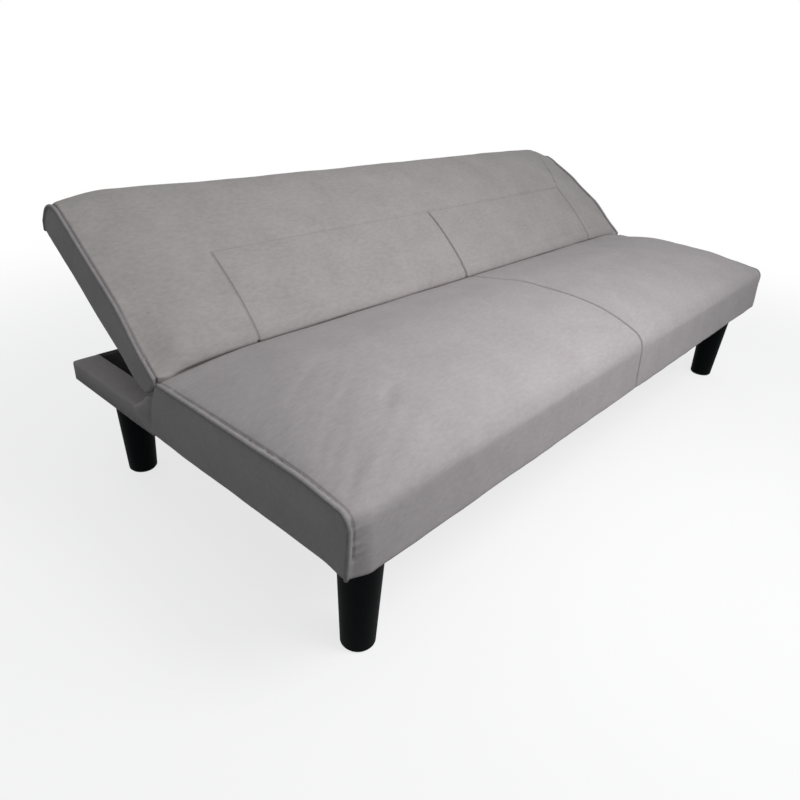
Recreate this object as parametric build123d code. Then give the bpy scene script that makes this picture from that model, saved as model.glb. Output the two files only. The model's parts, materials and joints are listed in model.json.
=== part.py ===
"""Sofa bed with a padded seat, a low wooden base and a padded back on two notched hinges.

Millimetres, +Z up, +X to the right of someone facing the sofa, the front towards -Y.  Pieces are drawn
with Y = 0 at the front of the seat and moved at the end, so that the origin is the middle of the
footprint on the floor.  The back is drawn lying flat, as a bed, and swung up to its reclining rest.
"""
import os
from math import cos, hypot, radians, sin

from build123d import *

# Overall sizes
LENGTH = 1680.0
LEG_HEIGHT = 226.0
SEAT_BODY_H = 112.0
SEAT_CROWN = 50.0
SEAT_DEPTH = 520.0
BASE_DEPTH = 795.0

# Padding
FABRIC = 2.0
CROWN_RUN = 190.0
CROWN_STEPS = 5
SEAM_HALF = 16.0
SEAM_DEPTH = 5.0
FRONT_RADIUS = 30.0
NOSE_GROWTH = 10.0
FRONT_TUCK = 8.0
HEM_SWELL = 18.0
FRONT_BULGE = 3.0
REAR_TUCK = 4.0
CROWN_FALL = 6.0
SLOPE_ANGLE = 228.0
SLOPE_UP = 28.0
SLOPE_DOWN = 48.0
PIPING_R = 4.0
PIPING_PROUD = 1.2
EDGE_IN = 4.0

# Back, lying flat, its lower end round about the hinge axis
HINGE_SETBACK = 18.0
HINGE_RISE = 9.0
BACK_T = 78.0
BACK_REACH = 352.0
BACK_CROWN = 18.0
BACK_TOP_CROWN = 16.0
STITCH_S = 163.0
SIDE_SEAM_X = 630.0
REAR_CORNER = 9.0
FLAT_BOW = 0.3
SWING_GAP = 1.0

# Back positions, as degrees above lying flat
REST_UP = 36.6
SIT_UP = 60.0
RELEASE_UP = 82.0

# Timber
RAIL_H = 34.0
END_RAIL_W = 50.0
FRONT_RAIL_W = 80.0
MID_RAIL_W = 60.0
REAR_RAIL_W = 78.0
BEAM_W = 60.0
FRONT_RAIL_Y = 14.0
MID_RAIL_INSET = 67.0
DECK_T = 9.0
BACK_RAIL_T = 28.0
BACK_RAIL_W = 45.0
BACK_DECK_T = 4.0
FRAME_S0 = 68.0
FRAME_TOP_GAP = 12.0
BOTTOM_RAIL_GAP = 14.0

# Linings
LINING_T = 1.0
LINING_GAP = 1.0
LINING_INSET = 28.0
LINING_LAP = 12.0
HEM_W = 18.0
WRAP_ROUND = 5.0

# Legs
LEG_INSET_X = 86.0
LEG_FRONT_Y = 62.0
LEG_REAR_INSET = 55.0
LEG_FOOT_R = 29.0
LEG_TOP_R = 39.0
LEG_WALL = 4.0
LEG_CAP_T = 8.0
GLIDE_T = 4.0
GLIDE_CHAMFER = 3.0
GLIDE_PLUG = 9.0

# Hinges
PLATE_T = 5.0
PLATE_GAP = 0.5
SIDE_GAP = 0.3
PIVOT_R = 6.0
RUN_FIT = 0.05
HEAD_T = 4.0
HEAD_R = 10.0
DISC_R = 26.0
NOTCH_R = 19.8
NOSE_R = 20.8
NOSE_ANGLE = 40.0
NOSE_HALF = 6.0
NOTCH_HALF = 8.4
RELIEF_HALF = 11.0
PAWL_PIN_S = 52.0
PAWL_PIN_N = -14.0
PAWL_PIN_R = 4.0
PAWL_EYE_R = 8.0
PAWL_TIP_R = 4.5
PAWL_TIP_RADIUS = 31.2
PAWL_LIFT = 9.0
FOOT_SETBACK = 8.0
FOOT_LENGTH = 84.0
FOOT_MARGIN = 3.0
RISER_NECK = 15.0
STOP_REACH = 26.0
STOP_R = 4.0
STOP_GAP = 0.2
ARM_BOSS_R = 15.0
ARM_LAP_S = 100.0
ARM_LAP_R = 12.0
ARM_PIN_R = 12.0
STRAP_S0 = 88.0
STRAP_S1 = 252.0
STRAP_N0 = -35.0
STRAP_W = 25.0
SLOT_HALF = 13.0
POCKET_S1 = 114.0
POCKET_N1 = 34.0
SLOT_S1 = 52.0
SLOT_N1 = 7.0

# Fasteners
BOLT_R = 4.0
BOLT_FIT = 0.3
BOLT_HEAD_R = 7.5
BOLT_HEAD_T = 4.5
BOLT_GRIP = 40.0
BRACKET_BOLTS = 3
ARM_BOLTS = 3

# Worked-out sizes
END_X = LENGTH / 2
SEAT_EDGE_Z = LEG_HEIGHT + SEAT_BODY_H
HALF_T = BACK_T / 2
RAIL_TOP = LEG_HEIGHT + RAIL_H
DECK_TOP = RAIL_TOP + DECK_T
HEM_Z = LEG_HEIGHT - FABRIC
RAIL_OUT_X = END_X - FABRIC
RAIL_IN_X = RAIL_OUT_X - END_RAIL_W
BASE_TOP = RAIL_TOP + FABRIC
RAIL_END_Y = BASE_DEPTH - FABRIC
PLATE_X0 = RAIL_IN_X - PLATE_T
BOSS_X1 = PLATE_X0 - PLATE_GAP
BOSS_X0 = BOSS_X1 - PLATE_T
SLOT_X = (PLATE_X0 + BOSS_X1) / 2
LEG_X = END_X - LEG_INSET_X
LEG_REAR_Y = BASE_DEPTH - LEG_REAR_INSET
MID_RAIL_Y = SEAT_DEPTH - MID_RAIL_INSET
FOOT_Y0 = SEAT_DEPTH + FOOT_SETBACK
HINGE_Y = SEAT_DEPTH - HINGE_SETBACK
HINGE_Z = SEAT_EDGE_Z + HINGE_RISE
PIVOT = Axis((0, HINGE_Y, HINGE_Z), (1, 0, 0))


def block(x0, x1, y0, y1, z0, z1):
    """A box between two corners."""
    middle = Pos((x0 + x1) / 2, (y0 + y1) / 2, (z0 + z1) / 2)
    return middle * Box(abs(x1 - x0), abs(y1 - y0), abs(z1 - z0))


def back_block(x0, x1, s0, s1, n0, n1):
    """A box in the back's own lengths: s along it from the hinge axis, n forward of its middle."""
    return block(x0, x1, HINGE_Y + s0, HINGE_Y + s1, HINGE_Z + n0, HINGE_Z + n1)


def slab(outline, x0, x1):
    """A flat outline drawn in Y and Z, as thick as from x0 to x1."""
    return extrude(Plane.YZ.offset(x0) * outline, amount=x1 - x0)


def rod(y, z, radius, x0, x1):
    """A round bar along X."""
    return slab(Pos(y, z) * Circle(radius), x0, x1)


def back_rod(s, n, radius, x0, x1):
    """A round bar along X, placed in the back's own lengths."""
    return rod(HINGE_Y + s, HINGE_Z + n, radius, x0, x1)


def link(start, start_r, end, end_r):
    """The outline round two circles."""
    first = Pos(*start) * Circle(start_r)
    second = Pos(*end) * Circle(end_r)
    return make_hull(first.edges() + second.edges())


def on_circle(radius, degrees):
    """A point on a circle about the hinge axis, in Y and Z."""
    angle = radians(degrees)
    return (HINGE_Y + radius * cos(angle), HINGE_Z + radius * sin(angle))


def mirrored(part):
    """The same piece at the left end."""
    return part.mirror(Plane.YZ)


def rise(x):
    """How much of the crown a section has: none at the ends, all of it away from them."""
    inward = (END_X - EDGE_IN - abs(x)) / CROWN_RUN
    return 1.0 - (1.0 - min(max(inward, 0.0), 1.0)) ** 2


def edge_draw(x, inset):
    """How far a section is drawn in where an end panel meets the piping."""
    return EDGE_IN if END_X - abs(x) <= inset else 0.0


def stations(seams, inset):
    """Places along X where a cushion's section is drawn, from end to end."""
    right = {END_X - inset, END_X - inset - EDGE_IN}
    for step in range(1, CROWN_STEPS + 1):
        right.add(END_X - CROWN_RUN * step / CROWN_STEPS)
    for seam in seams:
        right.update({seam, seam + SEAM_HALF, abs(seam - SEAM_HALF)})
    return sorted({-x for x in right} | right)


def drawn_in(points, depth):
    """Points of a closed outline, taken clockwise, moved inward by a depth."""
    moved = []
    for index, (y, z) in enumerate(points):
        before = points[index - 1]
        after = points[(index + 1) % len(points)]
        along = (after[0] - before[0], after[1] - before[1])
        size = hypot(*along)
        moved.append((y + depth * along[1] / size, z - depth * along[0] / size))
    return moved


def arc_outline(points):
    """A closed face through points: corner, arc middle, corner and so on round to the first corner."""
    edges = []
    for index in range(0, len(points), 2):
        start = points[index]
        middle = points[index + 1]
        end = points[(index + 2) % len(points)]
        edges.append(ThreePointArc(start, middle, end))
    return make_face(edges)


def bowed(start, end, bow):
    """The middle of an arc between two points, bowed outward on a clockwise outline."""
    along = (end[0] - start[0], end[1] - start[1])
    size = hypot(*along)
    return ((start[0] + end[0]) / 2 - bow * along[1] / size, (start[1] + end[1]) / 2 + bow * along[0] / size)


def seat_section(x, inset):
    """The seat from front to back: tucked front, round nose, crowned top and sloping rear."""
    up = rise(x)
    top = SEAT_EDGE_Z + SEAT_CROWN * up
    seam = SEAM_DEPTH if x == 0 else 0.0
    slope_at = on_circle(HALF_T + PIPING_PROUD + PIPING_R + SWING_GAP, SLOPE_ANGLE)
    slope_way = (-sin(radians(SLOPE_ANGLE)), cos(radians(SLOPE_ANGLE)))
    nose = FRONT_RADIUS + NOSE_GROWTH * up
    quarter_bow = nose * (1 - cos(radians(45)))
    front_low = (FRONT_TUCK - HEM_SWELL * up, HEM_Z)
    front_high = (-FRONT_BULGE * (1 + up), SEAT_EDGE_Z - nose)
    shoulder = (nose - FRONT_BULGE, SEAT_EDGE_Z + 0.42 * SEAT_CROWN * up)
    crown_front = (3 * nose, top - 0.8 * CROWN_FALL * up)
    crown_rear = (0.74 * SEAT_DEPTH, top - CROWN_FALL * up)
    rear_edge = (slope_at[0] - SLOPE_UP * slope_way[0], slope_at[1] - SLOPE_UP * slope_way[1])
    slope_low = (slope_at[0] + SLOPE_DOWN * slope_way[0], slope_at[1] + SLOPE_DOWN * slope_way[1])
    rear_high = (SEAT_DEPTH, (slope_low[1] + BASE_TOP) / 2 - REAR_TUCK)
    rear_low = (SEAT_DEPTH - REAR_TUCK, HEM_Z)
    points = [
        front_low, bowed(front_low, front_high, FLAT_BOW + 0.5 * FRONT_BULGE * up),
        front_high, bowed(front_high, shoulder, quarter_bow - FRONT_BULGE * up),
        shoulder, bowed(shoulder, crown_front, FLAT_BOW + 0.1 * SEAT_CROWN * up),
        crown_front, bowed(crown_front, crown_rear, FLAT_BOW + 0.1 * SEAT_CROWN * up),
        crown_rear, bowed(crown_rear, rear_edge, FLAT_BOW + 0.14 * SEAT_CROWN * up),
        rear_edge, bowed(rear_edge, slope_low, FLAT_BOW),
        slope_low, bowed(slope_low, rear_high, FLAT_BOW),
        rear_high, bowed(rear_high, rear_low, FLAT_BOW),
        rear_low, bowed(rear_low, front_low, FLAT_BOW),
    ]
    edge = edge_draw(x, inset)
    outline = drawn_in(points, inset + seam + edge)
    outline[0] = (front_low[0] + inset + edge, HEM_Z - 3 * inset)
    outline[-2] = (rear_low[0] - inset - edge, HEM_Z - 3 * inset)
    outline[-1] = bowed(outline[-2], outline[0], FLAT_BOW)
    return Plane.YZ.offset(x) * arc_outline(outline)


def back_section(x, inset):
    """The back lying flat: round lower end, two crowned panels either side of a stitch, round top."""
    up = rise(x)
    reach = BACK_REACH + BACK_TOP_CROWN * up
    sewn = SEAM_DEPTH if abs(x) <= SIDE_SEAM_X else 0.0
    on_seam = abs(x) in (0.0, SIDE_SEAM_X)
    lower_crown = BACK_CROWN * up - (SEAM_DEPTH if on_seam else 0.0)
    rear_low = (0.0, -HALF_T)
    tip = (-HALF_T, 0.0)
    front_low = (0.0, HALF_T)
    stitch = (STITCH_S, HALF_T + BACK_CROWN * up - sewn)
    top_front = (reach - HALF_T, HALF_T)
    top_end = (reach, 0.0)
    top_rear = (reach, REAR_CORNER - HALF_T)
    rear_high = (reach - REAR_CORNER, -HALF_T)
    quarter = HALF_T * cos(radians(45))
    lower_middle = (0.52 * STITCH_S, HALF_T + FLAT_BOW + 0.86 * lower_crown)
    upper_middle = ((STITCH_S + reach - HALF_T) / 2, HALF_T + FLAT_BOW + 0.8 * BACK_CROWN * up)
    points = [
        rear_low, (-quarter, -quarter),
        tip, (-quarter, quarter),
        front_low, lower_middle,
        stitch, upper_middle,
        top_front, (reach - HALF_T + quarter, quarter),
        top_end, bowed(top_end, top_rear, FLAT_BOW),
        top_rear, bowed(top_rear, rear_high, 2.0),
        rear_high, bowed(rear_high, rear_low, FLAT_BOW),
    ]
    outline = drawn_in(points, inset + edge_draw(x, inset))
    placed = [(HINGE_Y + s, HINGE_Z + n) for s, n in outline]
    return Plane.YZ.offset(x) * arc_outline(placed)


def cushion(section, seams, inset):
    """A cushion's form, drawn through its sections from one end to the other."""
    return loft([section(x, inset) for x in stations(seams, inset)], ruled=True)


def cord(corners, radius, x):
    """Piping that follows rounded corners in the plane of an end panel."""
    path = Plane.YZ.offset(x) * FilletPolyline(*corners, radius=radius)
    profile = Plane(path @ 0, z_dir=path % 0) * Circle(PIPING_R)
    return sweep(profile, path=path)


def seat_cord():
    """Piping over the seat's end edge, from the front hem to the rear edge."""
    front = -FRONT_BULGE - PIPING_PROUD
    top = SEAT_EDGE_Z + PIPING_PROUD
    straight_z = SEAT_EDGE_Z - FRONT_RADIUS
    lean = (FRONT_TUCK + FRONT_BULGE) / (straight_z - HEM_Z)
    hem_gap = 2 * PIPING_R
    corners = [
        (FRONT_TUCK - lean * hem_gap - FLAT_BOW - PIPING_PROUD, HEM_Z + hem_gap),
        (front, straight_z - PIPING_R),
        (front, top),
        (HINGE_Y - HALF_T - hem_gap, top),
    ]
    return cord(corners, FRONT_RADIUS + PIPING_PROUD, END_X + PIPING_PROUD)


def back_cord():
    """Piping round the back's end edge, from its lower end over the top."""
    low = HINGE_Y - HALF_T - PIPING_PROUD
    high = HINGE_Y + BACK_REACH + PIPING_PROUD
    front = HINGE_Z + HALF_T + PIPING_PROUD
    corners = [
        (low, HINGE_Z - 2 * PIPING_R),
        (low, front),
        (high, front),
        (high, HINGE_Z + REAR_CORNER - HALF_T),
    ]
    return cord(corners, HALF_T + PIPING_PROUD, END_X + PIPING_PROUD)


def ratchet_bracket():
    """The fixed hinge plate: a foot on the end rail, a riser, a notched disc and a lug that stops the arm."""
    foot_z0 = LEG_HEIGHT + FOOT_MARGIN
    foot_z1 = RAIL_TOP - FOOT_MARGIN
    foot_mid = (FOOT_Y0 + FOOT_LENGTH / 2, (foot_z0 + foot_z1) / 2)
    foot = Pos(*foot_mid) * Rectangle(FOOT_LENGTH, foot_z1 - foot_z0)
    riser = link(foot_mid, (foot_z1 - foot_z0) / 2, (HINGE_Y, HINGE_Z), RISER_NECK)
    outline = foot + riser + Pos(HINGE_Y, HINGE_Z) * Circle(DISC_R)
    for up in (REST_UP, SIT_UP):
        outline -= notch(NOSE_ANGLE + up - NOTCH_HALF, NOSE_ANGLE + up + NOTCH_HALF)
    outline -= notch(NOSE_ANGLE - RELIEF_HALF, NOSE_ANGLE + RELIEF_HALF)
    outline -= notch(NOSE_ANGLE + RELEASE_UP - NOTCH_HALF, NOSE_ANGLE + RELEASE_UP + RELIEF_HALF)
    outline -= Pos(HINGE_Y, HINGE_Z) * Circle(PIVOT_R)
    plate = slab(outline, PLATE_X0, RAIL_IN_X) + rod(*stop_place(), STOP_R, BOSS_X0, PLATE_X0)
    for y, z in bracket_bolt_places():
        plate -= rod(y, z, BOLT_R + BOLT_FIT, PLATE_X0, RAIL_IN_X)
    return plate


def notch(start, end):
    """The outline of one notch in the disc, between two directions from the hinge axis."""
    outer = DISC_R * 1.3
    return make_face(Polyline(
        on_circle(NOTCH_R, start), on_circle(outer, start), on_circle(outer, end), on_circle(NOTCH_R, end),
        close=True,
    ))


def stop_place():
    """Where the fixed plate's lug meets the moving arm's lower edge when the back lies flat."""
    reach = hypot(PAWL_PIN_S, PAWL_PIN_N)
    along = (PAWL_PIN_S / reach, PAWL_PIN_N / reach)
    half_width = ARM_BOSS_R + (ARM_PIN_R - ARM_BOSS_R) * STOP_REACH / reach
    below = half_width + STOP_GAP + STOP_R
    stop_y = HINGE_Y + STOP_REACH * along[0] + below * along[1]
    stop_z = HINGE_Z + STOP_REACH * along[1] - below * along[0]
    return (stop_y, stop_z)


def bracket_bolt_places():
    """Where the fixed plate is bolted to the end rail."""
    pitch = FOOT_LENGTH / BRACKET_BOLTS
    middle = LEG_HEIGHT + RAIL_H / 2
    return [(FOOT_Y0 + pitch * (index + 0.5), middle) for index in range(BRACKET_BOLTS)]


def arm_bolt_places():
    """Where the moving arm is bolted to the back's stile, in the back's own lengths."""
    first = ARM_LAP_S + 2.5 * ARM_LAP_R
    pitch = (STRAP_S1 - first) / ARM_BOLTS
    return [(first + pitch * (index + 0.5), STRAP_N0 + STRAP_W / 2) for index in range(ARM_BOLTS)]


def hinge_arm():
    """The moving hinge plate: an eye on the axis, a place for the pawl, and a strap along the stile."""
    eye = (HINGE_Y, HINGE_Z)
    pin = (HINGE_Y + PAWL_PIN_S, HINGE_Z + PAWL_PIN_N)
    lap = (HINGE_Y + ARM_LAP_S, HINGE_Z + STRAP_N0 + STRAP_W / 2)
    outline = link(eye, ARM_BOSS_R, pin, ARM_PIN_R) + link(pin, ARM_PIN_R, lap, ARM_LAP_R)
    outline -= Pos(*eye) * Circle(PIVOT_R + RUN_FIT)
    outline -= Pos(*pin) * Circle(PAWL_PIN_R)
    arm = slab(outline, BOSS_X0, BOSS_X1)
    arm += back_block(BOSS_X1, RAIL_IN_X, STRAP_S0, STRAP_S1, STRAP_N0, STRAP_N0 + STRAP_W)
    for s, n in arm_bolt_places():
        arm -= back_rod(s, n, BOLT_R + BOLT_FIT, BOSS_X0, RAIL_IN_X)
    return arm


def pawl():
    """The hooked pawl, drawn in a notch and then lifted clear of the disc."""
    pin = (HINGE_Y + PAWL_PIN_S, HINGE_Z + PAWL_PIN_N)
    tip = on_circle(PAWL_TIP_RADIUS, NOSE_ANGLE)
    nose = make_face(Polyline(
        on_circle(NOSE_R, NOSE_ANGLE - NOSE_HALF), on_circle(PAWL_TIP_RADIUS, NOSE_ANGLE - NOSE_HALF),
        on_circle(PAWL_TIP_RADIUS, NOSE_ANGLE + NOSE_HALF), on_circle(NOSE_R, NOSE_ANGLE + NOSE_HALF),
        close=True,
    ))
    outline = link(pin, PAWL_EYE_R, tip, PAWL_TIP_R) + nose
    outline -= Pos(*pin) * Circle(PAWL_PIN_R + RUN_FIT)
    hook = slab(outline, BOSS_X1 + SIDE_GAP, RAIL_IN_X - SIDE_GAP)
    return hook.rotate(Axis((0, *pin), (1, 0, 0)), -PAWL_LIFT)


def pivot_bolt():
    """The hinge bolt, tight in the fixed plate and free in the moving arm."""
    eye = (HINGE_Y, HINGE_Z)
    shank = rod(*eye, PIVOT_R, BOSS_X0 - SIDE_GAP, RAIL_IN_X)
    head = rod(*eye, HEAD_R, RAIL_IN_X, RAIL_IN_X + HEAD_T)
    nut = rod(*eye, HEAD_R, BOSS_X0 - SIDE_GAP - HEAD_T, BOSS_X0 - SIDE_GAP)
    return shank + head + nut


def pawl_pin():
    """The pawl's rivet, tight in the moving arm."""
    shank = back_rod(PAWL_PIN_S, PAWL_PIN_N, PAWL_PIN_R, BOSS_X0, RAIL_IN_X)
    head = back_rod(PAWL_PIN_S, PAWL_PIN_N, PAWL_EYE_R, RAIL_IN_X, RAIL_IN_X + HEAD_T / 2)
    tail = back_rod(PAWL_PIN_S, PAWL_PIN_N, PAWL_EYE_R, BOSS_X0 - HEAD_T / 2, BOSS_X0)
    return shank + head + tail


def side_bolt(y, z, head_x, tip_x):
    """A round-headed bolt along X, its head against head_x on the inner side."""
    return rod(y, z, BOLT_HEAD_R, head_x - BOLT_HEAD_T, head_x) + rod(y, z, BOLT_R, head_x, tip_x)


def both_ends(parts):
    """One node from the right-hand solids and their mirror images."""
    return Part() + parts + [mirrored(part) for part in parts]


def hinge_slot(grow):
    """Room at the back's lower end for the fixed plate, through the whole swing."""
    x0 = SLOT_X - SLOT_HALF
    x1 = SLOT_X + SLOT_HALF
    return back_block(x0, x1, -grow, SLOT_S1, -grow, SLOT_N1)


def hinge_pocket():
    """Room inside the foam for the disc, the pawl and the moving arm."""
    x0 = SLOT_X - SLOT_HALF
    x1 = SLOT_X + SLOT_HALF
    disc = rod(HINGE_Y, HINGE_Z, DISC_R + 4.0, x0, x1)
    return disc + back_block(x0, x1, 0, POCKET_S1, -BACK_T, POCKET_N1)


def leg(x, y):
    """A tapered hollow leg, closed at the top and open at the foot."""
    taper = (LEG_TOP_R - LEG_FOOT_R) / (LEG_HEIGHT - GLIDE_T)
    cap_z = LEG_HEIGHT - LEG_CAP_T
    inner_top = LEG_TOP_R - LEG_WALL - taper * LEG_CAP_T
    outline = make_face(Polyline(
        (LEG_FOOT_R - LEG_WALL, GLIDE_T), (LEG_FOOT_R, GLIDE_T), (LEG_TOP_R, LEG_HEIGHT),
        (BOLT_R + BOLT_FIT, LEG_HEIGHT), (BOLT_R + BOLT_FIT, cap_z), (inner_top, cap_z),
        close=True,
    ))
    return Pos(x, y, 0) * revolve(Plane.XZ * outline, Axis.Z)


def glide(x, y):
    """A chamfered foot cap that plugs into a leg."""
    align = (Align.CENTER, Align.CENTER, Align.MIN)
    foot = Cone(LEG_FOOT_R - GLIDE_CHAMFER, LEG_FOOT_R, GLIDE_T, align=align)
    plug_r = LEG_FOOT_R - LEG_WALL - BOLT_FIT
    plug = Pos(0, 0, GLIDE_T) * Cylinder(plug_r, GLIDE_PLUG, align=align)
    return Pos(x, y, 0) * (foot + plug)


def leg_bolt(x, y):
    """A bolt up through a leg's cap into the rail above it."""
    cap_z = LEG_HEIGHT - LEG_CAP_T
    align = (Align.CENTER, Align.CENTER, Align.MIN)
    head = Pos(0, 0, cap_z - BOLT_HEAD_T) * Cylinder(BOLT_HEAD_R, BOLT_HEAD_T, align=align)
    shank = Pos(0, 0, cap_z) * Cylinder(BOLT_R, LEG_CAP_T + RAIL_H, align=align)
    return Pos(x, y, 0) * (head + shank)


def end_wrap():
    """The fabric round the base's rear arm: over the top, the side and the end, and a hem below."""
    outer = block(RAIL_IN_X, END_X, SEAT_DEPTH + LINING_GAP, BASE_DEPTH, HEM_Z, BASE_TOP)
    long_edge = outer.edges().filter_by(Axis.Y).group_by(Axis.Z)[-1].sort_by(Axis.X)[-1]
    corner = outer.edges().filter_by(Axis.Z).group_by(Axis.Y)[-1].sort_by(Axis.X)[-1]
    top_rear = outer.edges().filter_by(Axis.X).group_by(Axis.Y)[-1].sort_by(Axis.Z)[-1]
    outer = fillet([long_edge, corner, top_rear], WRAP_ROUND)
    outer -= block(0, RAIL_OUT_X, 0, RAIL_END_Y, LEG_HEIGHT, RAIL_TOP)
    return outer - block(0, END_X - HEM_W, 0, RAIL_END_Y, 0, RAIL_TOP)


pieces = {}

# Base timber
leg_places = [(side * LEG_X, y) for y in (LEG_FRONT_Y, LEG_REAR_Y) for side in (-1, 1)]
leg_bolts = [leg_bolt(x, y) for x, y in leg_places]
leg_holes = [Pos(x, y, LEG_HEIGHT) * Cylinder(BOLT_R + BOLT_FIT, 2.5 * RAIL_H) for x, y in leg_places]
front_rail_y1 = FRONT_RAIL_Y + FRONT_RAIL_W
mid_rail_y1 = MID_RAIL_Y + MID_RAIL_W
rear_rail_y0 = RAIL_END_Y - REAR_RAIL_W
pieces["base_front_rail"] = block(
    -RAIL_IN_X, RAIL_IN_X, FRONT_RAIL_Y, front_rail_y1, LEG_HEIGHT, RAIL_TOP) - leg_holes
pieces["base_mid_rail"] = block(-RAIL_IN_X, RAIL_IN_X, MID_RAIL_Y, mid_rail_y1, LEG_HEIGHT, RAIL_TOP)
pieces["base_rear_rail"] = block(
    -RAIL_IN_X, RAIL_IN_X, rear_rail_y0, RAIL_END_Y, LEG_HEIGHT, RAIL_TOP) - leg_holes
pieces["base_front_beam"] = block(
    -BEAM_W / 2, BEAM_W / 2, front_rail_y1, MID_RAIL_Y, LEG_HEIGHT, RAIL_TOP)
pieces["base_rear_beam"] = block(-BEAM_W / 2, BEAM_W / 2, mid_rail_y1, rear_rail_y0, LEG_HEIGHT, RAIL_TOP)
end_rail = block(RAIL_IN_X, RAIL_OUT_X, FRONT_RAIL_Y, RAIL_END_Y, LEG_HEIGHT, RAIL_TOP)
for y, z in bracket_bolt_places():
    end_rail -= rod(y, z, BOLT_R + BOLT_FIT, RAIL_IN_X, RAIL_IN_X + BOLT_GRIP + 1.0)
pieces["base_end_rail_right"] = end_rail
pieces["base_end_rail_left"] = mirrored(end_rail)

# Seat
deck_y1 = MID_RAIL_Y + MID_RAIL_W / 2
pieces["seat_deck"] = block(-RAIL_OUT_X, RAIL_OUT_X, FRONT_RAIL_Y, deck_y1, RAIL_TOP, DECK_TOP)
seat_form = cushion(seat_section, (0.0,), 0.0)
seat_core = cushion(seat_section, (0.0,), FABRIC)
seat_rope = seat_cord()
below_timber = block(-LENGTH, LENGTH, -LENGTH, LENGTH, -LENGTH, LEG_HEIGHT)
timber_room = block(-LENGTH, LENGTH, FRONT_RAIL_Y, LENGTH, 0, RAIL_TOP)
deck_room = block(-LENGTH, LENGTH, FRONT_RAIL_Y, deck_y1, 0, DECK_TOP)
rail_way = block(RAIL_IN_X, RAIL_OUT_X, MID_RAIL_Y, BASE_DEPTH, 0, RAIL_TOP)
beam_way = block(-BEAM_W / 2, BEAM_W / 2, MID_RAIL_Y, BASE_DEPTH, 0, RAIL_TOP)
sheet_way = block(-RAIL_OUT_X, RAIL_OUT_X, MID_RAIL_Y, BASE_DEPTH, 0, LEG_HEIGHT)
pieces["seat_foam"] = seat_core - below_timber - timber_room - deck_room
pieces["seat_cover"] = seat_form - seat_core - [rail_way, mirrored(rail_way), beam_way, sheet_way]
pieces["seat_piping_right"] = seat_rope
pieces["seat_piping_left"] = mirrored(seat_rope)

# Base fabric and linings
wrap = end_wrap()
pieces["base_wrap_right"] = wrap
pieces["base_wrap_left"] = mirrored(wrap)
base_lining = block(
    -RAIL_IN_X, RAIL_IN_X, SEAT_DEPTH + LINING_GAP, RAIL_END_Y + LINING_T, RAIL_TOP, RAIL_TOP + LINING_T
) + block(-RAIL_IN_X, RAIL_IN_X, RAIL_END_Y, RAIL_END_Y + LINING_T, HEM_Z, RAIL_TOP)
plate_room = block(PLATE_X0 - LINING_GAP, END_X, SEAT_DEPTH, FOOT_Y0 + FOOT_LENGTH, RAIL_TOP, BASE_TOP)
pieces["base_lining"] = base_lining - [plate_room, mirrored(plate_room)]
dust_x = END_X - HEM_W - FABRIC
dust_sheet = block(
    -dust_x, dust_x, FRONT_TUCK + 2 * FABRIC, RAIL_END_Y - FABRIC, LEG_HEIGHT - LINING_T, LEG_HEIGHT)
for x, y in leg_places:
    dust_sheet -= Pos(x, y, LEG_HEIGHT) * Cylinder(LEG_TOP_R + FABRIC, RAIL_H)
pieces["dust_sheet"] = dust_sheet

# Legs
for (x, y), name in zip(leg_places, ("front_left", "front_right", "rear_left", "rear_right")):
    pieces["leg_" + name] = leg(x, y)
    pieces["glide_" + name] = glide(x, y)
pieces["leg_bolts"] = Part() + leg_bolts

# Fixed side of the hinges
bracket = ratchet_bracket()
pivot = pivot_bolt()
bracket_bolts = [side_bolt(y, z, PLATE_X0, PLATE_X0 + BOLT_GRIP) for y, z in bracket_bolt_places()]
pieces["hinge_bracket_right"] = bracket
pieces["hinge_bracket_left"] = mirrored(bracket)
pieces["hinge_pivot_right"] = pivot
pieces["hinge_pivot_left"] = mirrored(pivot)
pieces["bracket_bolts"] = both_ends(bracket_bolts)

# Back timber, lying flat
back_pieces = {}
frame_s1 = BACK_REACH - FRAME_TOP_GAP
rail_n0 = FABRIC - HALF_T
rail_n1 = rail_n0 + BACK_RAIL_T
deck_n1 = rail_n1 + BACK_DECK_T
back_pieces["back_bottom_rail"] = back_block(
    BOTTOM_RAIL_GAP - BOSS_X0, BOSS_X0 - BOTTOM_RAIL_GAP, FRAME_S0, FRAME_S0 + BACK_RAIL_W, rail_n0, rail_n1)
back_pieces["back_top_rail"] = back_block(
    -RAIL_IN_X, RAIL_IN_X, frame_s1 - BACK_RAIL_W, frame_s1, rail_n0, rail_n1)
back_pieces["back_centre_post"] = back_block(
    -BEAM_W / 2, BEAM_W / 2, FRAME_S0 + BACK_RAIL_W, frame_s1 - BACK_RAIL_W, rail_n0, rail_n1)
stile_x = RAIL_OUT_X - EDGE_IN - 1.0
stile = back_block(RAIL_IN_X, stile_x, FRAME_S0, frame_s1, rail_n0, rail_n1)
for s, n in arm_bolt_places():
    stile -= back_rod(s, n, BOLT_R + BOLT_FIT, RAIL_IN_X, RAIL_IN_X + BOLT_GRIP + 1.0)
back_pieces["back_stile_right"] = stile
back_pieces["back_stile_left"] = mirrored(stile)
back_deck = back_block(-stile_x, stile_x, FRAME_S0, frame_s1, rail_n1, deck_n1)

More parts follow.
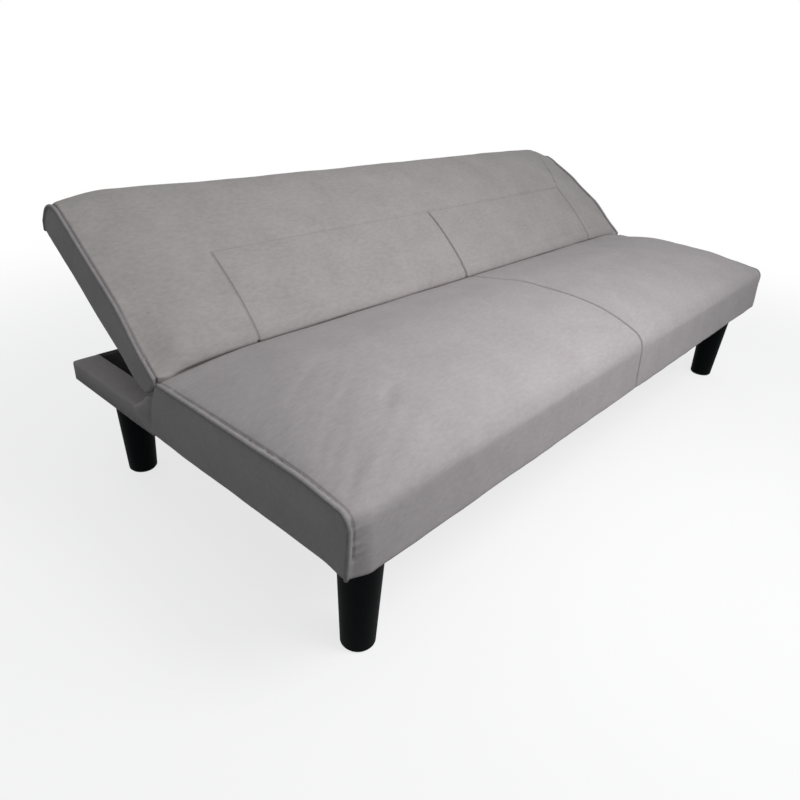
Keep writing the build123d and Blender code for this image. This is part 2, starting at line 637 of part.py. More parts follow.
# Back padding
slots = hinge_slot(BACK_T)
pocket = hinge_pocket()
pockets = [pocket, mirrored(pocket)]
back_deck -= pockets
back_pieces["back_deck"] = back_deck
back_seams = (0.0, SIDE_SEAM_X)
back_form = cushion(back_section, back_seams, 0.0)
back_core = cushion(back_section, back_seams, FABRIC)
back_rope = back_cord()
frame_room = back_block(-stile_x, stile_x, FRAME_S0, frame_s1, -BACK_T, deck_n1)
rear_opening = back_block(
    LINING_INSET - END_X, END_X - LINING_INSET, FRAME_S0 + 1.0, BACK_REACH - LINING_INSET, -BACK_T, rail_n1)
back_pieces["back_foam"] = back_core - frame_room - [slots, mirrored(slots)] - pockets
back_pieces["back_cover"] = back_form - back_core - rear_opening - [slots, mirrored(slots)]
back_pieces["back_piping_right"] = back_rope
back_pieces["back_piping_left"] = mirrored(back_rope)
back_pieces["back_lining"] = back_block(
    LINING_INSET - LINING_LAP - END_X, END_X - LINING_INSET + LINING_LAP,
    SLOT_S1 + 1.0, BACK_REACH - LINING_INSET + LINING_LAP, -HALF_T - LINING_T - FLAT_BOW, -HALF_T - FLAT_BOW)

# Moving side of the hinges
arm = hinge_arm()
rivet = pawl_pin()
hook = pawl()
arm_bolts = [
    side_bolt(HINGE_Y + s, HINGE_Z + n, BOSS_X1, BOSS_X1 + BOLT_GRIP) for s, n in arm_bolt_places()]
back_pieces["hinge_arm_right"] = arm
back_pieces["hinge_arm_left"] = mirrored(arm)
back_pieces["pawl_pin_right"] = rivet
back_pieces["pawl_pin_left"] = mirrored(rivet)
back_pieces["arm_bolts"] = both_ends(arm_bolts)
back_pieces["pawl_right"] = hook
back_pieces["pawl_left"] = mirrored(hook)

for name, part in back_pieces.items():
    pieces[name] = part.rotate(PIVOT, REST_UP)

# Middle of the footprint to the origin
boxes = [part.bounding_box() for part in pieces.values()]
front_y = min(box.min.Y for box in boxes)
rear_y = max(box.max.Y for box in boxes)
shift_y = -(front_y + rear_y) / 2

os.makedirs("parts", exist_ok=True)
for name, part in pieces.items():
    export_step(Pos(0, shift_y, 0) * part, os.path.join("parts", name + ".step"))

print("hinge axis", round(HINGE_Y + shift_y, 4), HINGE_Z)
print("footprint", round(front_y + shift_y, 4), round(rear_y + shift_y, 4))
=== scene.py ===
import json
from math import atan2, cos, pi, radians, sin

import bmesh
import bpy
from mathutils import Matrix, Vector, noise
from mathutils.bvhtree import BVHTree


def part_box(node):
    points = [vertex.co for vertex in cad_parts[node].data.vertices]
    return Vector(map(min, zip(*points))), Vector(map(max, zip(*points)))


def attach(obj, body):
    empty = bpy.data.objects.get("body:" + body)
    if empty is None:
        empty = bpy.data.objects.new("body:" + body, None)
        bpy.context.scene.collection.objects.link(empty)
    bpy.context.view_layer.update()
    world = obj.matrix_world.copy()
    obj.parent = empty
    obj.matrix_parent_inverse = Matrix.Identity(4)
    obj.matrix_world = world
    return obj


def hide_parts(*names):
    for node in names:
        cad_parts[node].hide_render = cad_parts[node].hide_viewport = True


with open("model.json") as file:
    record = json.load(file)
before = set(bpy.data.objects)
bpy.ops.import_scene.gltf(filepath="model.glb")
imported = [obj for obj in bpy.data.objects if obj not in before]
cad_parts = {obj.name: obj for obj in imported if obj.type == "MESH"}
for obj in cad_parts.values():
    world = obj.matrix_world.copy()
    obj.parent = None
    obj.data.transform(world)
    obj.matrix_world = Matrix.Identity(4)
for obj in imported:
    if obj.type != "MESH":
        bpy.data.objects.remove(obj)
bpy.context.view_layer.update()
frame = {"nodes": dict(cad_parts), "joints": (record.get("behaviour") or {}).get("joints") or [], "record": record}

# Metres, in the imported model's own frame: +X along the sofa, front towards -Y, floor at Z = 0.
nodes = frame["nodes"]
fold = next(joint for joint in frame["joints"] if joint["name"] == "back_fold")
HINGE = Vector(fold["pos_m"])
REST_UP = radians(fold["range_deg"][1])
# Turns the back, drawn lying flat, up to its place
BACK_PLACE = Matrix.Translation((0, HINGE.y, HINGE.z)) @ Matrix.Rotation(REST_UP, 4, "X")
SEAT_LOW, SEAT_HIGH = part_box("seat_cover")
SIDES = {"left": -1, "right": 1}
TINY = 1e-5
SMALL = 1e-4

# Seat, measured from its front at Y = 0 until it is set in place
HINGE_LINE = 0.502
FRONT_Y = HINGE.y - HINGE_LINE
END_X = SEAT_HIGH.x
HEM_Z = SEAT_LOW.z
EDGE_DROP = 0.009
EDGE_Z = HINGE.z - EDGE_DROP
SEAT_CROWN = 0.050
SEAT_REAR_Y = 0.519
NOSE_R = 0.022
NOSE_FRONT = -0.006
CROWN_RUN = 0.190
# Shares of the seat's height: where its sides start to rise with the crown, and the run until they all do
SIDE_RISE = 0.35
SIDE_RISE_RUN = 0.55
# The crown's rise behind the front, its slow fall towards the rear and its quick fall at the rear edge
LIFT_RUN = 0.256
LIFT_POWER = 3.1
REAR_LOSS = 0.45
REAR_FALL_Y = 0.270
REAR_FALL_RUN = 0.170
REAR_EDGE_Y = 0.385
REAR_EDGE_RUN = 0.0725
# The circle in which the back's foot turns
SWING_R = 0.0452
SLOPE_TOP = (0.4577, EDGE_Z)
SLOPE_DROP = 0.058
SLOPE_FOOT = (0.509, EDGE_Z - SLOPE_DROP)
# The front edge hangs lower and is drawn in at both ends, and its panel swells out between them
FRONT_RUN = 0.06
FRONT_DROOP = 0.010
DROOP_RUN = 0.12
CORNER_DROP = 0.008
CORNER_RUN = 0.045
FRONT_OUT = 0.002
HEM_OUT = 0.008
HEM_TUCK = 0.004
NOSE_TUCK = 0.006
TUCK_RUN = 0.035
END_BULGE = 0.003
END_BULGE_Y = 0.01
END_BULGE_RUN = 0.05
# The small fold of cover at each rear corner, behind the seam that ends at LEAF_HEM_Y
LEAF_OUT = 0.009
LEAF_BACK = 0.015
LEAF_SLANT = 0.308
LEAF_HEM_Y = 0.498
LEAF_RUN = 0.012
LEAF_FALL = 0.6
LEAF_FALL_Y = 0.02
LEAF_FALL_RUN = 0.03
LEAF_SKIN = 0.002
LEAF_WIDTH = 0.020
LEAF_LOW = 0.06
LEAF_TALL = 0.84
LEAF_BACK_TALL = 0.60
LEAF_BACK_Y = 0.485
LEAF_BACK_RUN = 0.030
HEM_WIDTH = 0.018
HEM_LIFT = 0.004
HEM_SKIN = 0.005
WRAP_START = 0.488

# Back, drawn lying flat: S along it from the hinge line, N forward of its middle
HALF_T = 0.039
# A hair under half the thickness, so that the rounds on both sides don't meet
BACK_ROUND = HALF_T * 0.998
BACK_REACH = 0.352
BACK_CROWN = 0.018
TOP_CROWN = 0.018
REAR_FLAT = 0.2
# The round foot: plump in front, thinner behind, and drawn in below a crease under its front
FOOT_PLUMP = 0.0042
PLUMP_X_RUN = 0.03
PLUMP_S_RUN = 0.05
FOOT_THIN = 0.009
THIN_S_RUN = 0.06
FOOT_DRAWN = 0.003
FOOT_DRAWN_X = 0.02
FOOT_DRAWN_RUN = 0.05
# The crease, in degrees: its turn down from the front at the ends, how much less in the middle, and its run
CREASE_TURN = 60
CREASE_LESS = 20
CREASE_RUN = 14
# The ends of the back: fuller behind, held flatter in front, and swelling a little outward
END_FULL = 0.004
END_FRONT = 0.022
END_FRONT_RUN = 0.12
END_RUN = 0.062
BACK_BULGE = 1.3 * END_BULGE
BULGE_FOOT = 0.03
BULGE_TOP_RUN = 0.05
# The top edge near each end: its fullness, how far it falls short at the end itself, and the run between
LEFT_TOP = (0.024, 0.005, 0.11)
RIGHT_TOP = (0.015, 0.009, 0.06)
TOP_START = 0.8
TOP_EVEN_X = 0.16
TOP_EVEN_RUN = 0.2
# The right end is set back, most at its top, where its corner is drawn in as well
RIGHT_BACK = 0.016
RIGHT_TOP_BACK = 0.012
RIGHT_BACK_X = 0.68
RIGHT_BACK_RUN = 0.15
RIGHT_BACK_S = 0.2
RIGHT_TOP_RUN = 0.1
RIGHT_DRAWN = 0.014
DRAWN_N = -0.002
DRAWN_N_RUN = 0.012
DRAWN_X_RUN = 0.08
DRAWN_S_RUN = 0.09
REAR_CORNER = 0.009
STITCH_S = 0.163
SIDE_SEAM_X = 0.630
# The right end's seam slants by this above the stitch, and this much of a step along X crosses it there
SEAM_SLANT = 0.56
SEAM_CROSS = 0.87
SLOT_MIDDLE = 0.78275
SLOT_HALF = 0.013
SLOT_S = 0.052
SLOT_N = 0.007
SLOT_OVER = 0.08

# Cloth and thread
SEAM_DEPTH = 0.014
SEAM_HALF = 0.0035
SEAM_SPREAD = 0.014
SEAM_SHOULDER = 0.25
SHOULDER_LINE = 0.4
END_SEAM_SHARE = 0.17
END_SEAM_RUN = 0.04
LEFT_SEAM_SHARE = 0.35
RIGHT_SEAM_SHARE = 0.8
STITCH_DEPTH = 0.0022
STITCH_PITCH = 0.006
STITCH_LENGTH = 0.0042
STITCH_END_S = 0.004
SEAM_PAST = 0.003
STITCH_END_RUN = 0.004
SEAM_END_RUN = 0.005
THREAD_R = 0.0005
THREAD_OUT = 0.0002
WELT_R = 0.0036
WELT_SIDES = 14
WELT_SET = 0.001
WELT_SEAM = 0.0055
WELT_SEAM_SHARE = 0.35
# Where the welts end: above the seat's hem, in front of the back's foot, and short of the back's rear
WELT_HEM = 0.005
WELT_END_Y = 0.4535
WELT_REAR = 0.003
WELT_WAVE = 0.0009
WELT_WAVES_PER_M = 18.0
# Puckers: waves per metre and a row of the noise, for the coarse ones, the fine ones and their patches
PUCKER_NOISE = ((85.0, 0.3), (150.0, 4.1), (9.0, 7.7))
PUCKER_DEPTH = 0.0046
PUCKER_REACH = 0.038
END_PUCKERS = 0.7
END_PUCKER_REACH = 0.05
# Slack: depth and waves per metre
SLACK_NOISE = ((0.0012, 9.0), (0.0005, 26.0))
REAR_CLEAR = 0.0006
WRAP_THICK = 0.0012
WRAP_ROUND = 0.006
WRAP_ROWS = 16
WRAP_COLUMNS = 5
WRAP_UNDER_SEAT = 0.0008
WRAP_UNDER_RUN = 0.02
WRAP_WAVE = 0.0008
WRAP_WAVES_PER_M = 22.0
LINING_THICK = 0.0006
LINING_TUCK = Vector((0.003, 0.006, 0.0))
LINING_SINK = 0.0004
LINING_WAVES_X = 9.0
LINING_WAVES_Y = 14.0
LINING_RISE = 0.0012
DUST_SAG = 0.003
BACK_LINING_SAG = 0.001
NOTCH = 0.04
NOTCH_IN = 0.019
NOTCH_OVER = 0.06
LEG_ROOM = 0.002

# Mesh and filling
VOXEL = 0.006
# A point this near an end is part of its panel, or of the seat's panel once that is smoothed
END_SKIN = 0.004
END_RIM = 0.006
# A point this near the back's rear lies against the frame
REAR_SKIN = 0.004
# How far from an end, a seam or a resting side the cover is held while it fills
END_HELD = 0.016
SEAM_HELD = 0.008
SLOPE_HELD = 0.014
REAR_HELD = 0.008
FOOT_HELD_S = 0.004
# Where the mesh is halved: along the puckers, at the seat's rear edge and at the front of the back's foot
FINE_REACH = 0.05
FINE_ABOVE_HEM = 0.03
FINE_REAR_Y = 0.420
FINE_REAR_DROP = 0.012
FINE_FOOT_S = 0.006
FINE_FOOT_N = 0.010
SMOOTHING = 0.5
FILL_FRAMES = 20
FILL_PRESSURE = 4.0
FILL_CAP = 0.003


def linear(hex_colour):
    """An sRGB hex colour as linear red, green, blue and alpha."""
    values = [int(hex_colour[place:place + 2], 16) / 255 for place in (1, 3, 5)]
    return [v / 12.92 if v <= 0.04045 else ((v + 0.055) / 1.055) ** 2.4 for v in values] + [1.0]


def add_node(tree, kind, settings=None, inputs=None):
    """Adds a shader node with its settings; an input is a value, or another node's output socket."""
    node = tree.nodes.new(kind)
    for name, value in (settings or {}).items():
        setattr(node, name, value)
    for name, value in (inputs or {}).items():
        if isinstance(value, bpy.types.NodeSocket):
            tree.links.new(value, node.inputs[name])
        else:
            node.inputs[name].default_value = value
    return node


def new_finish(name):
    """An empty material with its output and a place for its surface."""
    finish = bpy.data.materials.new(name)
    finish.use_nodes = True
    tree = finish.node_tree
    tree.nodes.clear()
    output = add_node(tree, "ShaderNodeOutputMaterial")
    return finish, tree, output


def per_metre(millimetres):
    """A noise scale whose features are about this many millimetres across."""
    return 1000.0 / millimetres


def suede(name, dark, light, patch_mm):
    """Brushed polyester suede: a short nap that lies in soft lighter and darker strokes and never shines."""
    finish, tree, output = new_finish(name)
    place = add_node(tree, "ShaderNodeTexCoord").outputs["Object"]
    patches = add_node(tree, "ShaderNodeTexNoise", inputs={
        "Vector": place, "Scale": per_metre(patch_mm), "Detail": 3.0, "Roughness": 0.55}).outputs["Fac"]
    brushed = add_node(tree, "ShaderNodeMapping", inputs={
        "Vector": place, "Rotation": (0.0, 0.0, 0.2), "Scale": (0.6, 1.4, 1.2)}).outputs["Vector"]
    strokes = add_node(tree, "ShaderNodeTexNoise", inputs={
        "Vector": brushed, "Scale": per_metre(8.0), "Detail": 5.0, "Roughness": 0.65}).outputs["Fac"]
    # The nap's fibres are a tenth of a millimetre; they are drawn at 1.6 mm, so that they show.
    fibres = add_node(tree, "ShaderNodeTexNoise", inputs={
        "Vector": place, "Scale": per_metre(1.6), "Detail": 2.0, "Roughness": 0.7}).outputs["Fac"]
    tone = add_node(tree, "ShaderNodeMix", {"data_type": "FLOAT"}, {
        "Factor": 0.6, "A": patches, "B": strokes}).outputs["Result"]
    tone = add_node(tree, "ShaderNodeMix", {"data_type": "FLOAT"}, {
        "Factor": 0.25, "A": tone, "B": fibres}).outputs["Result"]
    spread = add_node(tree, "ShaderNodeMapRange", inputs={
        "Value": tone, "From Min": 0.35, "From Max": 0.65}).outputs["Result"]
    colour = add_node(tree, "ShaderNodeMix", {"data_type": "RGBA"}, {
        "Factor": spread, "A": linear(dark), "B": linear(light)}).outputs["Result"]
    bump = add_node(tree, "ShaderNodeBump", inputs={
        "Strength": 0.2, "Distance": 0.0006, "Height": fibres}).outputs["Normal"]
    surface = add_node(tree, "ShaderNodeBsdfPrincipled", inputs={
        "Base Color": colour, "Roughness": 0.92, "IOR": 1.46, "Specular IOR Level": 0.1,
        "Sheen Weight": 0.12, "Sheen Roughness": 0.5, "Sheen Tint": linear("#d4d1d3"), "Normal": bump})
    tree.links.new(surface.outputs["BSDF"], output.inputs["Surface"])
    return finish


def spunbond_lining():
    """Black spunbond polypropylene lining: a dull cloth pressed with rows of small dimples."""
    finish, tree, output = new_finish("spunbond_black")
    place = add_node(tree, "ShaderNodeTexCoord").outputs["Object"]
    # The press marks are 1.2 mm apart; they are drawn at 3 mm, so that they show.
    dimples = add_node(tree, "ShaderNodeTexVoronoi", inputs={
        "Vector": place, "Scale": per_metre(3.0), "Randomness": 0.25}).outputs["Distance"]
    cloudy = add_node(tree, "ShaderNodeTexNoise", inputs={
        "Vector": place, "Scale": per_metre(14.0), "Detail": 4.0}).outputs["Fac"]
    colour = add_node(tree, "ShaderNodeMix", {"data_type": "RGBA"}, {
        "Factor": cloudy, "A": linear("#0b0c0d"), "B": linear("#161719")}).outputs["Result"]
    bump = add_node(tree, "ShaderNodeBump", inputs={
        "Strength": 0.35, "Distance": 0.0005, "Height": dimples}).outputs["Normal"]
    surface = add_node(tree, "ShaderNodeBsdfPrincipled", inputs={
        "Base Color": colour, "Roughness": 0.9, "IOR": 1.49, "Specular IOR Level": 0.08, "Normal": bump})
    tree.links.new(surface.outputs["BSDF"], output.inputs["Surface"])
    return finish


def grained(name, dark, light, grain_mm, roughness, ior, bump_mm, metallic=0.0, shine=0.5, stretch=(1, 1, 1)):
    """A finish with a fine grain: moulded plastic, powder coat, plating, sawn wood, foam or thread."""
    finish, tree, output = new_finish(name)
    place = add_node(tree, "ShaderNodeTexCoord").outputs["Object"]
    stretched = add_node(tree, "ShaderNodeMapping", inputs={
        "Vector": place, "Scale": stretch}).outputs["Vector"]
    grain = add_node(tree, "ShaderNodeTexNoise", inputs={
        "Vector": stretched, "Scale": per_metre(grain_mm), "Detail": 3.0, "Roughness": 0.6}).outputs["Fac"]
    worn = add_node(tree, "ShaderNodeTexNoise", inputs={
        "Vector": place, "Scale": per_metre(35.0), "Detail": 4.0}).outputs["Fac"]
    colour = add_node(tree, "ShaderNodeMix", {"data_type": "RGBA"}, {
        "Factor": grain, "A": linear(dark), "B": linear(light)}).outputs["Result"]
    rough = add_node(tree, "ShaderNodeMapRange", inputs={
        "Value": worn, "To Min": roughness - 0.06, "To Max": roughness + 0.08}).outputs["Result"]
    bump = add_node(tree, "ShaderNodeBump", inputs={
        "Strength": 0.25, "Distance": bump_mm / 1000.0, "Height": grain}).outputs["Normal"]
    surface = add_node(tree, "ShaderNodeBsdfPrincipled", inputs={
        "Base Color": colour, "Roughness": rough, "IOR": ior, "Specular IOR Level": shine,
        "Metallic": metallic, "Normal": bump})
    tree.links.new(surface.outputs["BSDF"], output.inputs["Surface"])
    return finish


def clamped(share):
    """A share held between 0 and 1."""
    return min(max(share, 0.0), 1.0)


def ease(share):
    """A smooth step from 0 to 1."""
    held = clamped(share)
    return held * held * (3.0 - 2.0 * held)


def arch(share):
    """A hump that is 0 at both ends of its run and 1 in the middle."""
    return sin(pi * clamped(share))


def rise(x):
    """How much of its crown a cushion has: none at its ends, all of it away from them."""
    inward = clamped((END_X - abs(x)) / CROWN_RUN)
    return 1.0 - (1.0 - inward) ** 2


def add_block(bm, size, middle):
    """Adds a block of this size round a point."""
    made = bmesh.ops.create_cube(bm, size=1.0)["verts"]
    bmesh.ops.scale(bm, verts=made, vec=size)
    bmesh.ops.translate(bm, verts=made, vec=middle)


def round_off(bm, edges, radius, segments):
    """Rounds edges off."""
    bmesh.ops.bevel(
        bm, geom=edges, offset=radius, segments=segments, profile=0.5, affect="EDGES", material=-1)


def new_piece(bm, name, finish, body):
    """Closes a bmesh into a smooth-shaded piece that rides on a body."""
    mesh = bpy.data.meshes.new(name)
    bm.to_mesh(mesh)
    bm.free()
    mesh.shade_smooth()
    mesh.materials.append(finish)
    piece = bpy.data.objects.new(name, mesh)
    bpy.context.scene.collection.objects.link(piece)
    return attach(piece, body)


def settle(piece):
    """Applies a piece's modifiers to its mesh."""
    depsgraph = bpy.context.evaluated_depsgraph_get()
    made = bpy.data.meshes.new_from_object(piece.evaluated_get(depsgraph))
    piece.modifiers.clear()
    old = piece.data
    made.name = piece.name
    piece.data = made
    bpy.data.meshes.remove(old)


def evenly_meshed(piece, size):
    """Turns a closed form into even quads of this size."""
    remesh = piece.modifiers.new("even", "REMESH")
    remesh.mode = "VOXEL"
    remesh.voxel_size = size
    settle(piece)


def filled(piece, is_held, cap):
    """Fills a cushion for a moment, as stuffing does: cloth under pressure, with its sewn points held."""
    start = [vert.co.copy() for vert in piece.data.vertices]
    held = piece.vertex_groups.new(name="sewn")
    held.add([index for index, point in enumerate(start) if is_held(point)], 1.0, "REPLACE")
    cloth = piece.modifiers.new("filling", "CLOTH")
    cloth.settings.quality = 3
    cloth.settings.use_pressure = True
    cloth.settings.uniform_pressure_force = FILL_PRESSURE
    cloth.settings.effector_weights.gravity = 0.0
    cloth.settings.vertex_group_mass = held.name
    cloth.point_cache.frame_start = 1
    cloth.point_cache.frame_end = FILL_FRAMES
    for step in range(1, FILL_FRAMES + 1):
        bpy.context.scene.frame_set(step)
    settle(piece)
    bpy.context.scene.frame_set(1)
    piece.vertex_groups.clear()
    for vert, first in zip(piece.data.vertices, start):
        moved = vert.co - first
        if moved.length > cap:
            vert.co = first + moved * (cap / moved.length)


def cut_line(bm, point, normal, is_near=None):
    """Adds an edge line where a plane crosses a mesh, or the part of it that is_near picks."""
    faces = [face for face in bm.faces if is_near is None or is_near(face.calc_center_median())]
    edges = {edge for face in faces for edge in face.edges}
    verts = {vert for face in faces for vert in face.verts}
    bmesh.ops.bisect_plane(
        bm, geom=[*verts, *edges, *faces], dist=TINY, plane_co=point, plane_no=normal)


def cut_seam(bm, point, normal, is_near=None):
    """Adds the edge lines that a sewn seam needs: its bottom, its two lips and its shoulders."""
    shoulder = SHOULDER_LINE * SEAM_SPREAD
    for offset in (-shoulder, -SEAM_HALF, 0.0, SEAM_HALF, shoulder):
        cut_line(bm, Vector(point) + offset * Vector(normal), normal, is_near)


def refine(bm, is_near):
    """Halves the mesh where small folds are to show."""
    edges = [edge for edge in bm.edges if is_near(edge.verts[0].co) and is_near(edge.verts[1].co)]
    bmesh.ops.subdivide_edges(bm, edges=edges, cuts=1, use_grid_fill=True)


def pull_in(bm, depth_at):
    """Moves each point inward along its normal by a depth that depends on where it is."""
    bm.normal_update()
    for vert in bm.verts:
        depth = depth_at(vert.co)
        if depth:
            vert.co -= vert.normal * depth


def crease(distance, depth):
    """The dip at a sewn line: a narrow cut between two soft shoulders."""
    away = abs(distance)
    cut = max(0.0, 1.0 - away / SEAM_HALF)
    shoulder = max(0.0, 1.0 - away / SEAM_SPREAD) ** 2
    return depth * (cut + SEAM_SHOULDER * shoulder)


def gather(along, away, reach):
    """Small puckers beside a sewn edge, which come in patches and fade with the distance from it."""
    fade = max(0.0, 1.0 - away / reach) ** 2
    coarse, fine, patch = (noise.noise(Vector((along * waves, row, 0.0))) for waves, row in PUCKER_NOISE)
    return PUCKER_DEPTH * fade * (coarse + 0.6 * fine) * (0.6 + 0.6 * patch)


def slack(point):
    """The unevenness of cloth over soft filling."""
    return sum(depth * noise.noise(point * waves) for depth, waves in SLACK_NOISE)


def shaped(piece, is_fine, shape):
    """Gives a cut block an even mesh, halved where it is to be fine, and then its filled form."""
    evenly_meshed(piece, VOXEL)
    bm = bmesh.new()
    bm.from_mesh(piece.data)
    refine(bm, is_fine)
    for vert in bm.verts:
        vert.co = shape(vert.co)
    bm.to_mesh(piece.data)
    bm.free()


def relaxed(piece, is_fine):
    """A filled cushion's mesh, smoothed once and halved where small folds are to show."""
    bm = bmesh.new()
    bm.from_mesh(piece.data)
    bmesh.ops.smooth_vert(
        bm, verts=bm.verts, factor=SMOOTHING, use_axis_x=True, use_axis_y=True, use_axis_z=True)
    refine(bm, is_fine)
    return bm


def seat_blank():
    """The seat as cut foam: a block with a round nose and a sloping rear, without its crown."""
    bm = bmesh.new()
    depth = SEAT_REAR_Y - NOSE_FRONT
    size = (2 * END_X, depth, EDGE_Z - HEM_Z)
    add_block(bm, size, (0.0, NOSE_FRONT + depth / 2, (HEM_Z + EDGE_Z) / 2))
    slope = Vector((0.0, SLOPE_TOP[1] - SLOPE_FOOT[1], SLOPE_FOOT[0] - SLOPE_TOP[0]))
    block = bm.verts[:] + bm.edges[:] + bm.faces[:]
    bmesh.ops.bisect_plane(bm, geom=block, plane_co=(0.0, *SLOPE_TOP), plane_no=slope, clear_outer=True)
    bmesh.ops.holes_fill(bm, edges=bm.edges)
    nose = [e for e in bm.edges if all(v.co.z > EDGE_Z - SMALL and v.co.y < 0 for v in e.verts)]
    round_off(bm, nose, NOSE_R, segments=8)
    bmesh.ops.recalc_face_normals(bm, faces=bm.faces)
    return bm


def seat_lift(y):
    """The share of the crown at a place between front and rear."""
    front = 1.0 - (1.0 - clamped((y - NOSE_FRONT) / LIFT_RUN)) ** LIFT_POWER
    rear = 1.0 - REAR_LOSS * ease((y - REAR_FALL_Y) / REAR_FALL_RUN)
    edge = (1.0 - clamped((y - REAR_EDGE_Y) / REAR_EDGE_RUN) ** 5) ** 0.4
    return front * rear * edge


def end_seam_y(z):
    """Where an end panel meets the seat's rear corner, along a line that slants back towards the hem."""
    return LEAF_HEM_Y - LEAF_SLANT * (z - HEM_Z)


def leaf_fold(point, height, from_end):
    """The fold of cover at the seat's rear corners: its shares of the way outward and of the way back."""
    behind = point.y - end_seam_y(point.z)
    outward = ease(behind / LEAF_RUN) * (1.0 - LEAF_FALL * ease((behind - LEAF_FALL_Y) / LEAF_FALL_RUN))
    outward *= (1.0 - ease((from_end - LEAF_SKIN) / LEAF_WIDTH)) * arch((height - LEAF_LOW) / LEAF_TALL)
    rearward = arch((height - LEAF_LOW) / LEAF_BACK_TALL) * ease((point.y - LEAF_BACK_Y) / LEAF_BACK_RUN)
    return outward, rearward


def shape_seat(point):
    """Moves a point of the seat's cut block to where its filled cover holds it."""
    up = rise(point.x)
    height = clamped((point.z - HEM_Z) / (EDGE_Z - HEM_Z))
    below = clamped((EDGE_Z - NOSE_R - point.z) / (EDGE_Z - NOSE_R - HEM_Z))
    from_end = END_X - abs(point.x)
    from_front = point.y - NOSE_FRONT
    on_top = ease((height - SIDE_RISE) / SIDE_RISE_RUN)
    on_front = 1.0 - ease(from_front / FRONT_RUN)
    at_corner = 1.0 - ease(from_end / CORNER_RUN)
    droop = FRONT_DROOP * (1.0 - up) * (1.0 - ease(from_front / DROOP_RUN))
    lifted = (SEAT_CROWN * up * seat_lift(point.y) - droop) * on_top
    tucked = 1.0 - ease(from_end / TUCK_RUN)
    swollen = FRONT_OUT + (HEM_OUT - FRONT_OUT) * below
    drawn = tucked * (NOSE_TUCK + HEM_TUCK * below ** 2.5) - (1.0 - tucked) * swollen
    panel = arch(height) * ease((point.y - END_BULGE_Y) / END_BULGE_RUN) * (1.0 - ease(from_end / END_SKIN))
    leaf, leaf_back = leaf_fold(point, height, from_end)
    point.x += (1.0 if point.x > 0 else -1.0) * (LEAF_OUT * leaf + END_BULGE * panel)
    point.y += on_front * drawn + LEAF_BACK * leaf * leaf_back
    point.z += lifted - CORNER_DROP * at_corner * on_front * below ** 2
    from_hinge = Vector((point.y - HINGE_LINE, point.z - HINGE.z))
    if from_hinge.length < SWING_R:
        from_hinge.length = SWING_R
        point.y = HINGE_LINE + from_hinge.x
        point.z = HINGE.z + from_hinge.y
    return point


def sew_seat(bm):
    """The seat's centre seam, its welts' seams with their puckers, and the seam near the rear of each end."""
    for x in (WELT_SEAM - END_X, 0.0, END_X - WELT_SEAM):
        cut_seam(bm, (x, 0, 0), (1, 0, 0))
    across = Vector((0.0, 1.0, LEAF_SLANT)).normalized()
    cut_seam(bm, (0, end_seam_y(HEM_Z), HEM_Z), across, lambda place: END_X - abs(place.x) < END_RIM)

    def depth_at(point):
        from_end = END_X - abs(point.x)
        depth = slack(point)
        if from_end < END_RIM:
            away = point.y - end_seam_y(point.z)
            sewn = END_SEAM_SHARE * ease((point.z - HEM_Z) / END_SEAM_RUN) * crease(away, SEAM_DEPTH)
            return depth + sewn + END_PUCKERS * gather(point.y, EDGE_Z - point.z, END_PUCKER_REACH)
        if point.z > HEM_Z + HEM_LIFT:
            depth += crease(point.x, SEAM_DEPTH)
            depth += WELT_SEAM_SHARE * crease(from_end - WELT_SEAM, SEAM_DEPTH)
        return depth + gather(point.y + point.z, from_end, PUCKER_REACH)

    pull_in(bm, depth_at)


def make_seat(finish):
    """The padded seat: crowned, sewn across the middle, with a hem turned under the base."""
    piece = new_piece(seat_blank(), "seat_cushion", finish, "base")
    shaped(piece, lambda point: point.z > EDGE_Z - FINE_REAR_DROP and point.y > FINE_REAR_Y, shape_seat)

    def is_sewn(point):
        near_end = END_X - abs(point.x) < END_HELD
        low = point.z < EDGE_Z - 0.5 * NOSE_R
        sloped = point.y > SLOPE_TOP[0] - SLOPE_HELD
        return near_end or low or sloped or abs(point.x) < SEAM_HELD

    def is_puckered(point):
        near_end = END_X - abs(point.x) < FINE_REACH
        return near_end and point.z > HEM_Z + FINE_ABOVE_HEM and point.y < SLOPE_TOP[0]

    filled(piece, is_sewn, FILL_CAP)
    bm = relaxed(piece, is_puckered)
    sew_seat(bm)
    # Inside its hem, the underside is lifted to the frame.
    corner = NOSE_FRONT + NOSE_TUCK + HEM_TUCK
    for vert in bm.verts:
        from_end = END_X - abs(vert.co.x)
        front = corner - (NOSE_TUCK + HEM_TUCK + HEM_OUT) * ease(from_end / TUCK_RUN)
        from_rim = min(from_end, vert.co.y - front, SEAT_REAR_Y - vert.co.y)
        if vert.co.z < HEM_Z + HEM_SKIN and from_rim > HEM_WIDTH:
            vert.co.z = HEM_Z + HEM_LIFT
    bmesh.ops.translate(bm, verts=bm.verts, vec=(0, FRONT_Y, 0))
    bm.to_mesh(piece.data)
    bm.free()
    piece.data.shade_smooth()
    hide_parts("seat_cover", "seat_foam")
    return piece


def runs_along(edge):
    """Whether an edge runs the length of the sofa."""
    return abs(edge.verts[0].co.x - edge.verts[1].co.x) > END_X


